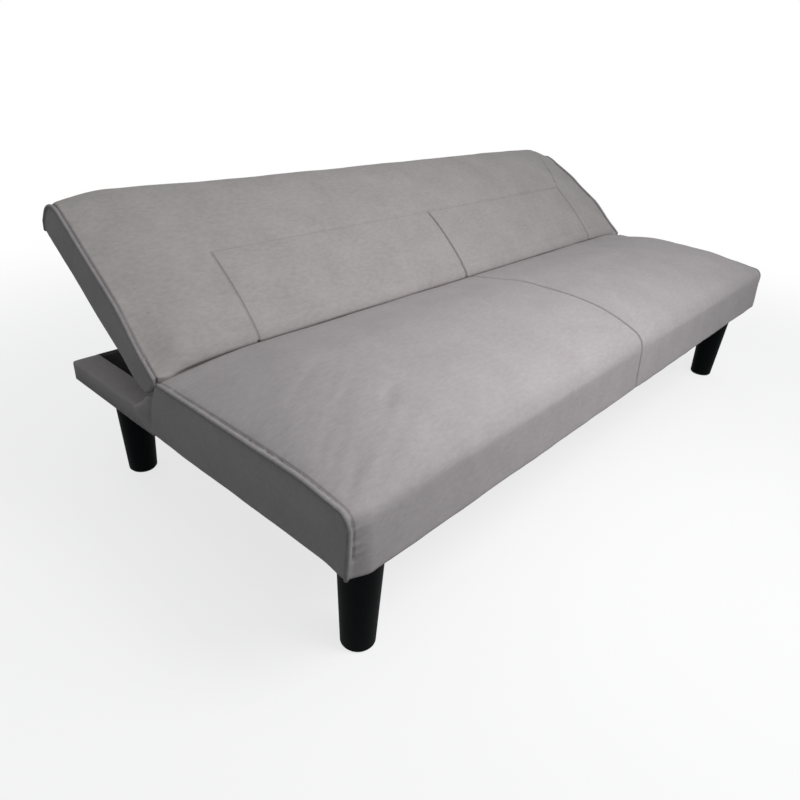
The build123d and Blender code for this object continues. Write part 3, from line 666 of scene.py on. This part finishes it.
def back_blank():
    """The back as cut foam, lying flat with the hinge line at its origin: round at both ends of its front."""
    bm = bmesh.new()
    size = (2 * END_X, BACK_REACH + HALF_T, 2 * HALF_T)
    add_block(bm, size, (0, (BACK_REACH - HALF_T) / 2, 0))
    along = [e for e in bm.edges if runs_along(e)]
    rounded = [e for e in along if e.verts[0].co.y < 0 or e.verts[0].co.z > 0]
    round_off(bm, rounded, BACK_ROUND, segments=10)
    rear_top = [
        e for e in bm.edges if runs_along(e)
        and e.verts[0].co.y > BACK_REACH - SMALL and e.verts[0].co.z < SMALL - HALF_T]
    round_off(bm, rear_top, REAR_CORNER, segments=3)
    bmesh.ops.recalc_face_normals(bm, faces=bm.faces)
    return bm


def shape_back(point):
    """Moves a point of the back's cut block, lying flat, to where its filled cover holds it."""
    up = rise(point.x)
    from_end = END_X - abs(point.x)
    at_end = 1.0 - ease((from_end - END_SKIN) / END_RUN)
    span = BACK_REACH - HALF_T
    swell = max(0.0, arch(point.y / span)) ** 0.6
    front = ease((point.z + HALF_T) / (2 * HALF_T) * (1.0 + REAR_FLAT) - REAR_FLAT)
    plump = FOOT_PLUMP * ease(from_end / PLUMP_X_RUN) * ease(1.0 + point.z / HALF_T)
    thin = (FOOT_THIN * (1.0 - at_end) - END_FULL * at_end) * ease(-point.z / HALF_T)
    top = ease((point.y - span * TOP_START) / (BACK_REACH - span * TOP_START))
    full, short, run = LEFT_TOP if point.x < 0 else RIGHT_TOP
    top_up = 1.0 - (1.0 - min(from_end / run, 1.0)) ** 2
    evened = (full - TOP_CROWN) * ease((from_end - TOP_EVEN_X) / TOP_EVEN_RUN)
    reach = (full + short) * top_up - short - evened
    panel = cos(pi / 2 * min(abs(point.z) / HALF_T, 1.0)) * ease((point.y + BULGE_FOOT) / (2 * BULGE_FOOT))
    panel *= ease((BACK_REACH - point.y) / BULGE_TOP_RUN) * (1.0 - ease(from_end / END_SKIN))
    point.x += (1.0 if point.x > 0 else -1.0) * BACK_BULGE * panel
    if point.y < 0.0:
        crease_at = radians(CREASE_TURN - CREASE_LESS * up)
        under = ease((atan2(-point.y, point.z) - crease_at) / radians(CREASE_RUN))
        drawn = (FOOT_PLUMP + FOOT_DRAWN) * under * ease((from_end - FOOT_DRAWN_X) / FOOT_DRAWN_RUN)
        point.yz = point.yz * (1.0 + (plump - thin - drawn) / HALF_T)
    else:
        at_foot = 1.0 - ease(point.y / PLUMP_S_RUN)
        point.z += plump * at_foot * ease(point.z / HALF_T) + thin * (1.0 - ease(point.y / THIN_S_RUN))
    point.z += BACK_CROWN * up * swell * front
    end_front = END_FRONT + (HALF_T - END_FRONT) * ease(point.y / END_FRONT_RUN)
    point.z -= at_end * max(0.0, point.z - end_front)
    set_back = RIGHT_BACK * ease(point.y / RIGHT_BACK_S)
    set_back += RIGHT_TOP_BACK * ease((point.y - RIGHT_BACK_S) / RIGHT_TOP_RUN)
    point.z -= set_back * ease((point.x - RIGHT_BACK_X) / RIGHT_BACK_RUN) * front
    at_corner = ease((point.x - END_X + DRAWN_X_RUN) / DRAWN_X_RUN)
    at_corner *= ease((point.y - BACK_REACH + DRAWN_S_RUN) / DRAWN_S_RUN)
    point.x -= RIGHT_DRAWN * at_corner * ease((point.z - DRAWN_N) / DRAWN_N_RUN)
    point.y += reach * top
    return point


def seam_line_x(s):
    """Where the right end's seam runs: straight up to the stitch, then slanting to the top corner."""
    return SIDE_SEAM_X + SEAM_SLANT * max(0.0, s - STITCH_S)


def sew_back(bm):
    """The back's stitched panel: one line along it, three seams down to the seat, and the welts' puckers."""
    for x in (WELT_SEAM - END_X, -SIDE_SEAM_X, 0.0, SIDE_SEAM_X, END_X - WELT_SEAM):
        cut_seam(bm, (x, 0, 0), (1, 0, 0))
    cut_seam(bm, (0, STITCH_S, 0), (0, 1, 0))
    cut_seam(bm, (SIDE_SEAM_X, STITCH_S, 0), Vector((1.0, -SEAM_SLANT, 0.0)).normalized())

    def depth_at(point):
        depth = slack(point)
        if point.z < REAR_SKIN - HALF_T:
            return abs(depth) + REAR_CLEAR
        if point.z < 0:
            return depth
        inside = ease((SIDE_SEAM_X + SEAM_PAST - abs(point.x)) / STITCH_END_RUN)
        below = ease((STITCH_S + SEAM_PAST - point.y) / SEAM_END_RUN)
        # The stitch is drawn tighter towards the right.
        firm = 0.5 + 0.5 * ease(0.5 + point.x)
        sewn = [
            firm * inside * crease(point.y - STITCH_S, STITCH_DEPTH),
            below * crease(point.x, SEAM_DEPTH),
            LEFT_SEAM_SHARE * below * crease(point.x + SIDE_SEAM_X, SEAM_DEPTH),
            RIGHT_SEAM_SHARE * crease((point.x - seam_line_x(point.y)) * SEAM_CROSS, SEAM_DEPTH),
        ]
        from_end = END_X - abs(point.x)
        if from_end > END_SKIN:
            sewn.append(WELT_SEAM_SHARE * crease(from_end - WELT_SEAM, SEAM_DEPTH))
            depth += gather(point.y, from_end, PUCKER_REACH)
        return depth + max(sewn)

    pull_in(bm, depth_at)


def cut_away(piece, bm):
    """Takes a drawn form away from a piece."""
    mesh = bpy.data.meshes.new("cutter")
    bm.to_mesh(mesh)
    bm.free()
    cutter = bpy.data.objects.new("cutter", mesh)
    bpy.context.scene.collection.objects.link(cutter)
    cut = piece.modifiers.new("cut", "BOOLEAN")
    cut.operation = "DIFFERENCE"
    cut.object = cutter
    settle(piece)
    bpy.data.objects.remove(cutter)
    bpy.data.meshes.remove(mesh)


def hinge_slots():
    """The two slots through which the fixed hinge plates reach the back, drawn lying flat."""
    bm = bmesh.new()
    size = (2 * SLOT_HALF, SLOT_S + SLOT_OVER, SLOT_N + SLOT_OVER)
    for side in SIDES.values():
        add_block(bm, size, (side * SLOT_MIDDLE, (SLOT_S - SLOT_OVER) / 2, (SLOT_N - SLOT_OVER) / 2))
    return bm


def make_stitches(cushion, finish):
    """The thread along the back's panel: short stitches that lie in the sewn lines."""
    skin = BVHTree.FromBMesh(cushion)
    lines = [((-SIDE_SEAM_X, STITCH_S), (SIDE_SEAM_X, STITCH_S))]
    lines += [((x, STITCH_S), (x, STITCH_END_S)) for x in (-SIDE_SEAM_X, 0.0, SIDE_SEAM_X)]
    size = Matrix.Diagonal((STITCH_LENGTH / 2, THREAD_R, THREAD_R, 1.0))
    above = Vector((0.0, 0.0, 0.2))
    down = Vector((0.0, 0.0, -1.0))
    bm = bmesh.new()
    for start, end in lines:
        first = Vector((*start, 0.0))
        along = Vector((*end, 0.0)) - first
        count = int(along.length / STITCH_PITCH)
        for index in range(count):
            middle = first + along * ((index + 0.5) / count)
            hit, normal, _, _ = skin.ray_cast(middle + above, down)
            way = (along - normal * along.dot(normal)).normalized()
            turn = Matrix((way, normal.cross(way), normal)).transposed().to_4x4()
            matrix = Matrix.Translation(hit + normal * THREAD_OUT) @ turn @ size
            bmesh.ops.create_uvsphere(bm, u_segments=6, v_segments=5, radius=1.0, matrix=matrix)
    bmesh.ops.transform(bm, verts=bm.verts, matrix=BACK_PLACE)
    piece = new_piece(bm, "back_stitches", finish, "back")
    return piece


def make_back(finish, thread):
    """The padded back: crowned, with its stitched panel, round about the hinge line at its foot."""
    piece = new_piece(back_blank(), "back_cushion", finish, "back")
    shaped(piece, lambda point: point.y < FINE_FOOT_S and point.z > FINE_FOOT_N, shape_back)

    def is_sewn(point):
        near_end = END_X - abs(point.x) < END_HELD
        stitched = abs(point.y - STITCH_S) < SEAM_HELD and abs(point.x) < SIDE_SEAM_X and point.z > 0
        return near_end or stitched or point.z < REAR_HELD - HALF_T or point.y < FOOT_HELD_S

    filled(piece, is_sewn, FILL_CAP)
    bm = relaxed(piece, lambda point: END_X - abs(point.x) < FINE_REACH and point.z > 0)
    sew_back(bm)
    make_stitches(bm, thread)
    bm.to_mesh(piece.data)
    bm.free()
    cut_away(piece, hinge_slots())
    piece.data.transform(BACK_PLACE)
    piece.data.shade_smooth()
    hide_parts("back_cover", "back_foam")
    return piece


def add_run(bm, ring, end, steps):
    """Extends a ring of edges to a point in short steps and gives the last ring."""
    here = sum((edge.verts[0].co for edge in ring), Vector()) / len(ring)
    for _ in range(steps):
        made = bmesh.ops.extrude_edge_only(bm, edges=ring)["geom"]
        ring = [item for item in made if isinstance(item, bmesh.types.BMEdge) and item.is_boundary]
        moved = {vert for edge in ring for vert in edge.verts}
        bmesh.ops.translate(bm, verts=list(moved), vec=(Vector(end) - here) / steps)
    return ring


def add_turn(bm, ring, centre, degrees, steps):
    """Turns a ring of edges about a line along X and gives the last ring."""
    made = bmesh.ops.spin(
        bm, geom=ring, cent=centre, axis=(1, 0, 0), angle=radians(degrees), steps=steps, use_merge=False)
    return [item for item in made["geom_last"] if isinstance(item, bmesh.types.BMEdge)]


def welt(name, body, node, route, shape, place, finish):
    """A welt: a cord in a fabric sleeve along an end edge, drawn by runs and turns of so many steps each."""
    bm = bmesh.new()
    start, heading = route[0]
    turn = Vector((0, 0, 1)).rotation_difference(Vector(heading)).to_matrix().to_4x4()
    matrix = Matrix.Translation(start) @ turn
    bmesh.ops.create_circle(bm, cap_ends=False, radius=WELT_R, segments=WELT_SIDES, matrix=matrix)
    ring = bm.edges[:]
    for kind, *move in route[1:]:
        ring = add_run(bm, ring, *move) if kind == "run" else add_turn(bm, ring, *move)
    bmesh.ops.holes_fill(bm, edges=[edge for edge in bm.edges if edge.is_boundary])
    bmesh.ops.recalc_face_normals(bm, faces=bm.faces)
    verts = bm.verts[:]
    for first in range(0, len(verts), WELT_SIDES):
        round_verts = verts[first:first + WELT_SIDES]
        middle = sum((vert.co for vert in round_verts), Vector()) / WELT_SIDES
        waved = noise.noise(Vector((0.0, middle.y * WELT_WAVES_PER_M, middle.z * WELT_WAVES_PER_M)))
        wave = Vector((0.0, 0.0, WELT_WAVE * waved))
        bmesh.ops.translate(bm, verts=round_verts, vec=shape(middle.copy()) - middle + wave)
    bmesh.ops.transform(bm, verts=bm.verts, matrix=place)
    piece = new_piece(bm, name, finish, body)
    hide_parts(node)
    return piece


def seat_welt_route(x):
    """Up the seat's front edge, over its nose and back along the top to the foot of the back."""
    front = NOSE_FRONT + WELT_SET
    return [
        ((x, front, HEM_Z + WELT_HEM), (0, 0, 1)),
        ("run", (x, front, EDGE_Z - NOSE_R), 16),
        ("turn", (x, NOSE_FRONT + NOSE_R, EDGE_Z - NOSE_R), -90, 12),
        ("run", (x, WELT_END_Y, EDGE_Z - WELT_SET), 80),
    ]


def back_welt_route(x):
    """Round the back's foot, up its front edge, and over its top, drawn lying flat."""
    outer = HALF_T - WELT_SET
    return [
        ((x, -outer, 0.0), (0, 0, 1)),
        ("turn", (x, 0.0, 0.0), -90, 18),
        ("run", (x, BACK_REACH - HALF_T, outer), 60),
        ("turn", (x, BACK_REACH - HALF_T, 0.0), -90, 14),
        ("run", (x, BACK_REACH - WELT_SET, 2 * REAR_CORNER - HALF_T), 4),
        ("run", (x, BACK_REACH - REAR_CORNER, WELT_REAR - HALF_T), 4),
    ]


def make_welts(finish):
    """The four welts along the end edges of the seat and the back."""
    seat_place = Matrix.Translation((0, FRONT_Y, 0))
    for name, side in SIDES.items():
        x = side * (END_X - WELT_SET)
        welt(
            "seat_welt_" + name, "base", "seat_piping_" + name,
            seat_welt_route(x), shape_seat, seat_place, finish)
        welt(
            "back_welt_" + name, "back", "back_piping_" + name,
            back_welt_route(x), shape_back, BACK_PLACE, finish)


def make_arm_wrap(name, finish):
    """The fabric drawn round one rear arm of the base, folded over its end and hemmed below."""
    low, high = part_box("base_wrap_" + name)
    low.y = FRONT_Y + WRAP_START
    size = high - low
    bm = bmesh.new()
    add_block(bm, size, (low + high) / 2)
    outer_x = high.x if SIDES[name] > 0 else low.x
    inner_x = low.x + high.x - outer_x

    def is_rounded(edge):
        ends = [vert.co for vert in edge.verts]
        outer = all(abs(end.x - outer_x) < TINY for end in ends)
        raised = any(end.z > low.z + TINY for end in ends)
        foremost = all(abs(end.y - low.y) < TINY for end in ends)
        top_rear = all(end.z > high.z - TINY and end.y > high.y - TINY for end in ends)
        return outer and raised and not foremost or top_rear

    rounded = [edge for edge in bm.edges if is_rounded(edge)]
    open_faces = [
        f for f in bm.faces
        if all(abs(v.co.x - inner_x) < TINY for v in f.verts) or all(v.co.y < low.y + TINY for v in f.verts)]
    bmesh.ops.delete(bm, geom=open_faces, context="FACES_ONLY")
    round_off(bm, rounded, WRAP_ROUND, segments=5)
    for step in range(1, WRAP_ROWS):
        cut_line(bm, (0, low.y + size.y * step / WRAP_ROWS, 0), (0, 1, 0))
    for step in range(1, WRAP_COLUMNS):
        cut_line(bm, (low.x + size.x * step / WRAP_COLUMNS, 0, 0), (1, 0, 0))
    under = [
        f for f in bm.faces
        if f.calc_center_median().z < low.z + SMALL and abs(f.calc_center_median().x - outer_x) > HEM_WIDTH]
    bmesh.ops.delete(bm, geom=under, context="FACES")
    for vert in bm.verts:
        under_seat = 1.0 - ease((vert.co.y - FRONT_Y - SEAT_REAR_Y) / WRAP_UNDER_RUN)
        vert.co.x -= SIDES[name] * WRAP_UNDER_SEAT * under_seat
        if vert.co.z > low.z + SMALL:
            vert.co.z += WRAP_WAVE * noise.noise(vert.co * WRAP_WAVES_PER_M)
    bmesh.ops.recalc_face_normals(bm, faces=bm.faces)
    piece = new_piece(bm, "arm_wrap_" + name, finish, "base")
    thick = piece.modifiers.new("cloth", "SOLIDIFY")
    thick.thickness = WRAP_THICK
    thick.offset = -1.0
    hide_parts("base_wrap_" + name)
    return piece


def stretched_cloth(name, body, node, corners, stand_off, drop, finish):
    """A lining stapled flat at its edges: a fine grid, a little slack between them, with a folded drop."""
    low, high = corners
    bm = bmesh.new()
    bmesh.ops.create_grid(bm, x_segments=60, y_segments=14, size=0.5)
    bmesh.ops.scale(bm, verts=bm.verts, vec=(high.x - low.x, high.y - low.y, 1.0))
    bmesh.ops.translate(bm, verts=bm.verts, vec=((low.x + high.x) / 2, (low.y + high.y) / 2, high.z))
    for vert in bm.verts:
        across = (vert.co.x - low.x) / (high.x - low.x)
        along = (vert.co.y - low.y) / (high.y - low.y)
        middle = sin(pi * across) * sin(pi * along)
        ripple = noise.noise(Vector((vert.co.x * LINING_WAVES_X, vert.co.y * LINING_WAVES_Y, 2.7)))
        vert.co.z += middle * stand_off * (1.0 + 0.5 * ripple)
    if drop:
        rear = [e for e in bm.edges if e.is_boundary and all(v.co.y > high.y - TINY for v in e.verts)]
        made = bmesh.ops.extrude_edge_only(bm, edges=rear)["geom"]
        lowered = [item for item in made if isinstance(item, bmesh.types.BMVert)]
        bmesh.ops.translate(bm, verts=lowered, vec=(0, 0, -drop))
    bmesh.ops.recalc_face_normals(bm, faces=bm.faces)
    piece = new_piece(bm, name, finish, body)
    thick = piece.modifiers.new("cloth", "SOLIDIFY")
    thick.thickness = LINING_THICK
    thick.offset = 0.0
    settle(piece)
    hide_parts(node)
    return piece


def make_base_lining(finish):
    """The black cloth over the base behind the seat, notched at the hinges and folded over the rear rail."""
    low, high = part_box("base_lining")
    near = Vector((low.x, low.y, high.z)) - LINING_TUCK
    far = Vector((high.x + LINING_TUCK.x, high.y, high.z - LINING_SINK))
    piece = stretched_cloth(
        "base_lining_cloth", "base", "base_lining", (near, far), LINING_RISE, high.z - low.z, finish)
    plate_low, plate_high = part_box("hinge_bracket_right")
    notch = bmesh.new()
    size = (NOTCH, plate_high.y - low.y + NOTCH_OVER, NOTCH)
    for side in SIDES.values():
        middle = (side * (plate_low.x + NOTCH_IN), (plate_high.y + low.y - NOTCH_OVER) / 2, high.z)
        add_block(notch, size, middle)
    cut_away(piece, notch)
    return piece


def make_dust_cloth(finish):
    """The black cloth stapled under the base, cut round the legs."""
    low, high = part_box("dust_sheet")
    piece = stretched_cloth("dust_cloth", "base", "dust_sheet", (low, high), -DUST_SAG, 0.0, finish)
    holes = bmesh.new()
    for name in ("front_left", "front_right", "rear_left", "rear_right"):
        leg_low, leg_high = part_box("leg_" + name)
        middle = (leg_low + leg_high) / 2
        middle.z = leg_high.z
        radius = (leg_high.x - leg_low.x) / 2 + LEG_ROOM
        bmesh.ops.create_cone(
            holes, cap_ends=True, segments=40, radius1=radius, radius2=radius, depth=0.04,
            matrix=Matrix.Translation(middle))
    cut_away(piece, holes)
    return piece


def make_back_lining(finish):
    """The black cloth over the rear of the back's frame."""
    lying = BACK_PLACE.inverted()
    points = [lying @ vert.co for vert in nodes["back_lining"].data.vertices]
    low = Vector([min(point[axis] for point in points) for axis in range(3)])
    high = Vector([max(point[axis] for point in points) for axis in range(3)])
    piece = stretched_cloth(
        "back_lining_cloth", "back", "back_lining", (low, high), -BACK_LINING_SAG, 0.0, finish)
    piece.data.transform(BACK_PLACE)
    return piece


def make_camera():
    """The photograph's view: from the left front corner and above, rolled slightly. Angles are in radians."""
    place = (-1.2844, -0.8569, 0.8327)
    yaw = 0.8586
    pitch = 0.489
    roll = 0.0623
    ahead = Vector((sin(yaw) * cos(pitch), cos(yaw) * cos(pitch), -sin(pitch)))
    level = Vector((cos(yaw), -sin(yaw), 0.0))
    upward = level.cross(ahead)
    across = cos(roll) * level + sin(roll) * upward
    tall = cos(roll) * upward - sin(roll) * level
    turn = Matrix((across, tall, -ahead)).transposed()
    data = bpy.data.cameras.new("camera")
    data.sensor_width = 36.0
    data.lens = 29.17
    camera = bpy.data.objects.new("camera", data)
    camera.matrix_world = Matrix.Translation(place) @ turn.to_4x4()
    bpy.context.scene.collection.objects.link(camera)
    bpy.context.scene.camera = camera


def add_sun(name, towards, strength, spread):
    """A broad, distant lamp in a direction from the object."""
    data = bpy.data.lights.new(name, "SUN")
    data.energy = strength
    data.angle = radians(spread)
    lamp = bpy.data.objects.new(name, data)
    lamp.matrix_world = Vector(towards).to_track_quat("Z", "Y").to_matrix().to_4x4()
    bpy.context.scene.collection.objects.link(lamp)


def add_softbox(name, place, aim, power, size):
    """A round lamp with a soft front, near enough that its light falls off along the object."""
    data = bpy.data.lights.new(name, "AREA")
    data.shape = "DISK"
    data.size = size
    data.energy = power
    lamp = bpy.data.objects.new(name, data)
    turn = (Vector(place) - Vector(aim)).to_track_quat("Z", "Y").to_matrix().to_4x4()
    lamp.matrix_world = Matrix.Translation(place) @ turn
    bpy.context.scene.collection.objects.link(lamp)


def seen_rays(tree):
    """Whether a ray comes from the camera or from a reflection or glass, which show the white surround."""
    rays = add_node(tree, "ShaderNodeLightPath")
    seen = rays.outputs["Is Camera Ray"]
    for kind in ("Is Glossy Ray", "Is Transmission Ray"):
        seen = add_node(tree, "ShaderNodeMath", {"operation": "MAXIMUM"}, {
            0: seen, 1: rays.outputs[kind]}).outputs["Value"]
    return seen


def make_surround():
    """A white surround that lights the object softly from all sides."""
    world = bpy.data.worlds.new("studio")
    bpy.context.scene.world = world
    world.use_nodes = True
    tree = world.node_tree
    tree.nodes.clear()
    fill = add_node(tree, "ShaderNodeBackground", inputs={"Color": linear("#eef6f6"), "Strength": 0.22})
    white = add_node(tree, "ShaderNodeBackground", inputs={"Color": linear("#ffffff"), "Strength": 1.0})
    shown = add_node(tree, "ShaderNodeMixShader", inputs={
        0: seen_rays(tree), 1: fill.outputs["Background"], 2: white.outputs["Background"]})
    add_node(tree, "ShaderNodeOutputWorld", inputs={"Surface": shown.outputs["Shader"]})


def make_floor():
    """A pale paper floor that keeps the object's shadow and fades into the white surround."""
    finish, tree, output = new_finish("paper_white")
    place = add_node(tree, "ShaderNodeTexCoord").outputs["Object"]
    away = add_node(tree, "ShaderNodeVectorMath", {"operation": "LENGTH"}, {"Vector": place}).outputs["Value"]
    fade = add_node(tree, "ShaderNodeMapRange", {"interpolation_type": "SMOOTHSTEP"}, {
        "Value": away, "From Min": 1.1, "From Max": 2.4}).outputs["Result"]
    grey = add_node(tree, "ShaderNodeBsdfDiffuse", inputs={"Color": linear("#8c8c8c")}).outputs["BSDF"]
    pale = add_node(tree, "ShaderNodeBsdfDiffuse", inputs={"Color": linear("#ffffff")}).outputs["BSDF"]
    glow = add_node(tree, "ShaderNodeEmission", inputs={"Color": linear("#ffffff")}).outputs["Emission"]
    clear = add_node(tree, "ShaderNodeBsdfTransparent").outputs["BSDF"]
    bright = add_node(tree, "ShaderNodeMixShader", inputs={0: 0.75, 1: pale, 2: glow}).outputs["Shader"]
    lit = add_node(tree, "ShaderNodeMixShader", inputs={
        0: seen_rays(tree), 1: grey, 2: bright}).outputs["Shader"]
    shown = add_node(tree, "ShaderNodeMixShader", inputs={0: fade, 1: lit, 2: clear}).outputs["Shader"]
    tree.links.new(shown, output.inputs["Surface"])
    bm = bmesh.new()
    bmesh.ops.create_grid(bm, x_segments=1, y_segments=1, size=4.0)
    mesh = bpy.data.meshes.new("floor")
    bm.to_mesh(mesh)
    bm.free()
    mesh.materials.append(finish)
    floor = bpy.data.objects.new("floor", mesh)
    bpy.context.scene.collection.objects.link(floor)


def make_studio():
    """A pale floor, a white surround, a soft lamp in front and weak lights from above and behind."""
    bpy.context.scene.view_settings.view_transform = "Standard"
    make_surround()
    make_floor()
    add_softbox("key", place=(-0.25, -1.05, 1.30), aim=(0.1, 0.0, 0.4), power=12.4, size=0.8)
    add_sun("top", towards=(0.05, -0.33, 0.8), strength=0.65, spread=60.0)
    add_sun("rear", towards=(0.35, 0.9, 0.2), strength=0.5, spread=60.0)


# The seat's nap is the plain cloth: a pale, dull grey in soft strokes.
seat_suede = suede("suede_grey", "#a59fa1", "#b6b0b2", patch_mm=80.0)
# The back's cover is the seat's suede painted a little darker and warmer: painted shade for the light that falls
# off across the back.
shaded_back_suede = suede("suede_grey_painted_shade", "#a09a9a", "#b4aeae", patch_mm=80.0)
# The welts are the cover's suede painted darker: painted shade that keeps their round tops from reading brighter
# than the cloth beside them.
shaded_welt_suede = suede("suede_grey_welt_painted_shade", "#8c888a", "#a39fa1", patch_mm=20.0)
# The sewing thread is spun polyester, smoother than the suede, in a grey like the suede's painted a shade darker:
# painted shade for the sewn groove it lies in.
thread = grained(
    "thread_grey_with_painted_seam_shade", "#858183", "#939091", grain_mm=0.6, roughness=0.7, ior=1.5, bump_mm=0.02,
    shine=0.2)
lining = spunbond_lining()
finishes = {
    # Sawn pine: pale and yellow-brown, with a long grain
    "timber": grained(
        "sawn_pine", "#b78c58", "#cfa873", grain_mm=4.0, roughness=0.7, ior=1.5, bump_mm=0.2,
        stretch=(0.06, 1.0, 1.0)),
    # Moulded plastic: a near black that hardly shines
    "leg_black": grained(
        "moulded_abs_black", "#050708", "#0b0e0f", grain_mm=1.5, roughness=0.6, ior=1.53, bump_mm=0.05,
        shine=0.03),
    # Softer plastic, waxy and a little greyer
    "glide_black": grained(
        "moulded_pp_black", "#0b0b0b", "#151515", grain_mm=1.5, roughness=0.6, ior=1.49, bump_mm=0.05,
        shine=0.2),
    # Powder coat: an even black with a low gloss
    "hinge_steel": grained(
        "powder_coat_black", "#141516", "#1e1f20", grain_mm=0.8, roughness=0.5, ior=1.5, bump_mm=0.05,
        shine=0.25),
    # Zinc plate: bright grey metal with a soft gleam
    "bolt_steel": grained(
        "zinc_plate", "#a9abac", "#c3c4c4", grain_mm=1.0, roughness=0.36, ior=1.5, bump_mm=0.02,
        metallic=1.0),
    "cover_grey": seat_suede,
    "piping_grey": shaded_welt_suede,
    # Upholstery foam: cream, open and quite matt
    "foam": grained(
        "foam_cream", "#d9cfae", "#e6dfc4", grain_mm=1.2, roughness=0.9, ior=1.4, bump_mm=0.3),
    "lining_black": lining,
}
for subpart in frame["record"]["subparts"]:
    slots = nodes[subpart["node"]].data.materials
    slots.clear()
    slots.append(finishes[subpart["material_slot"]])

make_seat(seat_suede)
make_back(shaded_back_suede, thread)
make_welts(shaded_welt_suede)
for side_name in SIDES:
    make_arm_wrap(side_name, seat_suede)
make_base_lining(lining)
make_dust_cloth(lining)
make_back_lining(lining)
make_studio()
make_camera()
